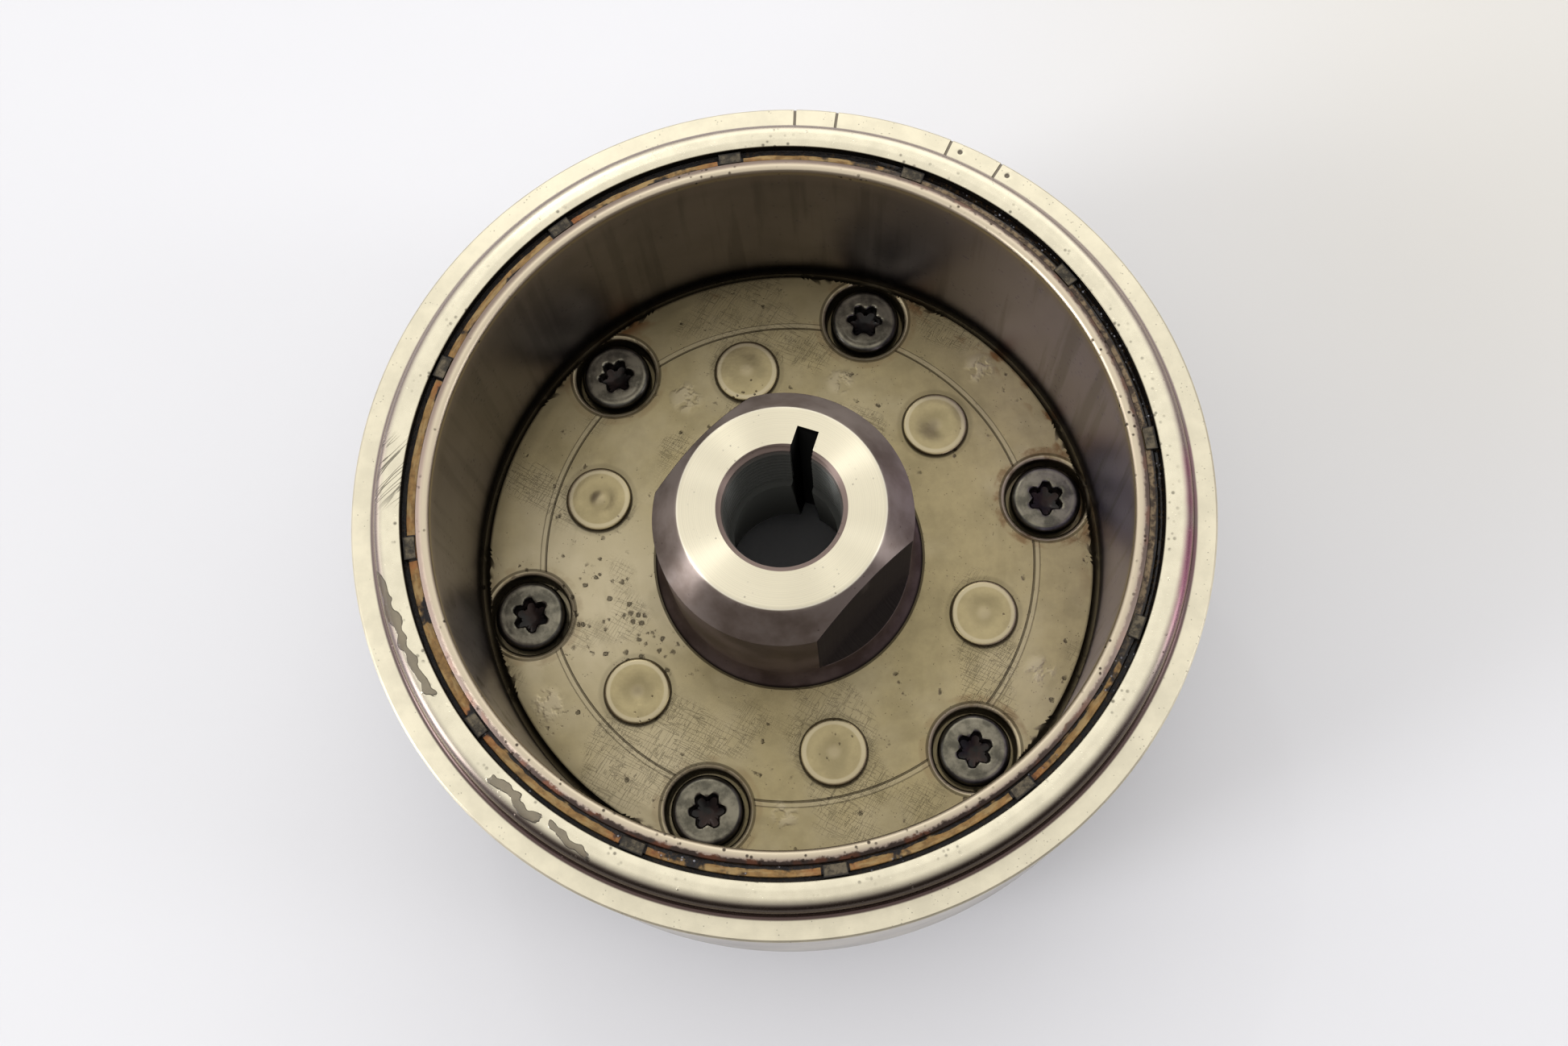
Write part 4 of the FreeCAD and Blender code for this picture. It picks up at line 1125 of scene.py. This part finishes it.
class BuildCup(bpy.types.Operator):
    """Builds the cup with its rolled bead, timing marks and counterbored web"""
    bl_idname = "rotor.cup"
    bl_label = "Cup"

    def execute(self, context):
        settings = context.scene
        finish = cup_finish(settings.rotor_cup, settings.rotor_colours)
        add_piece("cup_shell", cup_sheets(settings.rotor_cup), finish, ["rotor_cup"])
        return {"FINISHED"}


class BuildHub(bpy.types.Operator):
    """Builds the hub with its spanner flats, keyway and puller thread"""
    bl_idname = "rotor.hub"
    bl_label = "Hub"

    def execute(self, context):
        settings = context.scene
        finish = hub_finish(settings.rotor_hub, settings.rotor_colours)
        add_piece("hub_turned", hub_sheets(settings.rotor_hub), finish, ["hub"])
        return {"FINISHED"}


class BuildMagnetRing(bpy.types.Operator):
    """Builds the liner and the varnish, and finishes the magnets and spacers"""
    bl_idname = "rotor.magnet_ring"
    bl_label = "Magnet ring"

    def execute(self, context):
        colours = context.scene.rotor_colours
        add_piece("liner_rolled", liner_sheets(), liner_finish(colours), ["liner_sleeve"])
        add_piece("varnish_ring", varnish_sheets(), varnish_finish(colours),
                  ["varnish_fill"])
        magnet, spacer = magnet_finish(), spacer_finish()
        for i in range(12):
            paint("magnet_%02d" % (i + 1), magnet)
            paint("spacer_%02d" % (i + 1), spacer)
        return {"FINISHED"}


class BuildFasteners(bpy.types.Operator):
    """Builds the six clutch screws and the six hub rivets"""
    bl_idname = "rotor.fasteners"
    bl_label = "Fasteners"

    def execute(self, context):
        sizes, colours = context.scene.rotor_cup, context.scene.rotor_colours
        dark, bright = screw_finish(colours), rivet_finish(sizes, colours)
        spins = (20, 47, 3, 31, 55, 12)  # where each screw came to rest, in degrees
        # crown, dish and nub of each rivet's head
        heads = ((0.12, 0.42, 0.0), (0.17, 0.0, 0.0), (0.12, 0.38, 0.42), (0.17, 0.48, 0.0),
                 (0.14, 0.26, 0.0), (0.12, 0.34, 0.16))
        for i in range(6):
            number = "_%02d" % (i + 1)
            place = place_on(sizes.screw_circle, sizes.first_screw, i)
            add_piece("screw_turned" + number, screw_sheets(place, math.radians(spins[i])), dark,
                      ["clutch_screw" + number])
            place = place_on(sizes.rivet_circle, sizes.first_rivet, i)
            add_piece("rivet_peened" + number, rivet_sheets(place, *heads[i], 40 + i), bright,
                      ["hub_rivet" + number])
        return {"FINISHED"}


class BuildClutch(bpy.types.Operator):
    """Builds the starter clutch's rollers, plungers and springs, and finishes its outer race"""
    bl_idname = "rotor.clutch"
    bl_label = "Starter clutch"

    def execute(self, context):
        paint("clutch_outer", clutch_finish(context.scene.rotor_colours))
        ground = ground_finish("roller_steel", (0.62, 0.62, 0.63), 0.12)
        drawn = ground_finish("plunger_steel", (0.48, 0.47, 0.46), 0.28)
        wire = ground_finish("spring_wire", (0.30, 0.30, 0.32), 0.3)
        for i in (1, 2, 3):
            number = "_%02d" % i
            add_piece("roller_ground" + number, roller_sheets("roller" + number), ground,
                      ["roller" + number], "roller" + number)
            add_piece("plunger_drawn" + number, plunger_sheets(i), drawn,
                      ["plunger" + number], "plunger" + number)
            spring = add_piece("spring_coiled" + number, spring_sheets(i), wire,
                               ["spring" + number])
            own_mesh(spring)
        return {"FINISHED"}


def paint(node, material):
    """Gives a CAD node a finish."""
    slots = NODES[node].data.materials
    slots.clear()
    slots.append(material)


class BuildStage(bpy.types.Operator):
    """Lays the pale table, lights it softly and sets the camera"""
    bl_idname = "rotor.stage"
    bl_label = "Stage"

    def execute(self, context):
        stage = context.scene.rotor_stage
        table_finish = Shader("table_top", Roughness=0.45)
        grain = table_finish.noise(0.02, 4, 0.6)
        pale = tuple(stage.floor)
        # painted shade: the table darker and warmer towards the right and the back
        warm = table_finish.x.ramp(0, 160) * table_finish.y.ramp(-60, 60)
        pale = table_finish.mix(warm, pale, (0.68, 0.665, 0.62))
        table_finish.finish(table_finish.mix(grain * 0.1, pale, (0.6, 0.6, 0.62)), 0.4 + grain * 0.1)
        half, below = 1500, 0.02
        flat = np.linspace(-half, half, 9)
        x, y = np.meshgrid(flat, flat, indexing="ij")
        mesh = mesh_of("table_top", [sheet_of(np.stack((x, y, 0 * x - below), axis=-1))])
        table = bpy.data.objects.new("table_top", mesh)
        mesh.materials.append(table_finish.material)
        context.scene.collection.objects.link(table)
        rim_z = context.scene.rotor_cup.rim_height
        self.light("key", (0.30, 0.80, 0.70), 0.7, 1.2, (1.0, 0.99, 0.97), rim_z)
        self.light("side", (-0.85, 0.25, 0.45), 0.5, 0.8, (1.0, 0.98, 0.96), rim_z)
        self.light("spark", (-0.15, 0.55, 0.80), 0.04, 0.25, (1.0, 1.0, 1.0), rim_z)
        self.sky(context)
        camera = bpy.data.objects.new("camera", bpy.data.cameras.new("camera"))
        camera.data.lens, camera.data.sensor_width = stage.lens, 36.0
        camera.data.clip_start = 0.01
        place = Vector((0, -stage.camera_back, rim_z + stage.camera_up))
        aim = Vector((0, -stage.aim_back, rim_z))
        look = (aim - place).to_track_quat("-Z", "Y").to_matrix().to_4x4()
        camera.matrix_world = Matrix.Translation(place) @ look @ Matrix.Rotation(stage.roll, 4, "Z")
        context.scene.collection.objects.link(camera)
        context.scene.camera = camera
        return {"FINISHED"}

    def light(self, name, place, size, power, colour, aim_z):
        lamp = bpy.data.lights.new(name, "AREA")
        lamp.size, lamp.energy, lamp.color = size, power, colour
        obj = bpy.data.objects.new(name, lamp)
        obj.location = place
        obj.rotation_euler = (Vector((0, 0, aim_z)) - Vector(place)).to_track_quat("-Z", "Y").to_euler()
        bpy.context.scene.collection.objects.link(obj)

    def sky(self, context):
        """Bright ceiling over a dim room with two windows: one to the right, one low on the left."""
        world = bpy.data.worlds.new("dim_room")
        context.scene.world = world
        world.use_nodes = True
        s = Nodes(world.node_tree, "Generated", 1.0)
        overhead = s.x * -0.04 + s.y * 0.22 + s.z * 0.95
        front, back, sides = (0.07, 0.05, 0.045), (0.42, 0.38, 0.36), (0.42, 0.36, 0.38)
        walls = s.mix(s.around(270, 60, 0.6), s.mix(s.around(90, 60, 0.6), sides, back), front)
        room = s.mix(overhead.ramp(0.15, 0.80), walls, (1.19, 1.18, 1.18))
        above_camera = (s.z * 0.993 - s.y * 0.12).ramp(0.94, 0.995)
        room = s.mix(above_camera * 0.35, room, (0.35, 0.30, 0.24))
        windows = (s.around(-15, 7) * 0.35 + s.around(190, 8)) * s.z.ramp(0.1, 0.25) * s.z.ramp(0.75, 0.5)
        lit = s.mix(windows, room, (11.0, 11.0, 11.5))
        background = s.tree.nodes["Background"]
        s.tree.links.new(lit, background.inputs["Color"])
        context.scene.view_settings.view_transform = "Standard"


class RotorPanel(bpy.types.Panel):
    """Lists the steps that build the rotor, with its sizes and colours"""
    bl_idname = "VIEW3D_PT_rotor"
    bl_label = "Alternator rotor"
    bl_space_type = "VIEW_3D"
    bl_region_type = "UI"
    bl_category = "Rotor"

    def draw(self, context):
        for step in STEPS:
            self.layout.operator(step.bl_idname)
        for name in GROUPS:
            group = getattr(context.scene, name)
            box = self.layout.box()
            for key in group.__annotations__:
                box.prop(group, key)


GROUPS = {"rotor_cup": CupSizes, "rotor_hub": HubSizes, "rotor_colours": FinishColours,
          "rotor_stage": StageSettings}
STEPS = (BuildCup, BuildHub, BuildMagnetRing, BuildFasteners, BuildClutch, BuildStage)


def register():
    for cls in (*GROUPS.values(), *STEPS, RotorPanel):
        bpy.utils.register_class(cls)
    for name, cls in GROUPS.items():
        setattr(bpy.types.Scene, name, PointerProperty(type=cls))


def unregister():
    for name in GROUPS:
        delattr(bpy.types.Scene, name)
    for cls in (RotorPanel, *reversed(STEPS), *reversed(GROUPS.values())):
        bpy.utils.unregister_class(cls)


def main():
    register()
    for step in STEPS:
        area, name = step.bl_idname.split(".")
        getattr(getattr(bpy.ops, area), name)()


if __name__ == "__main__":
    main()
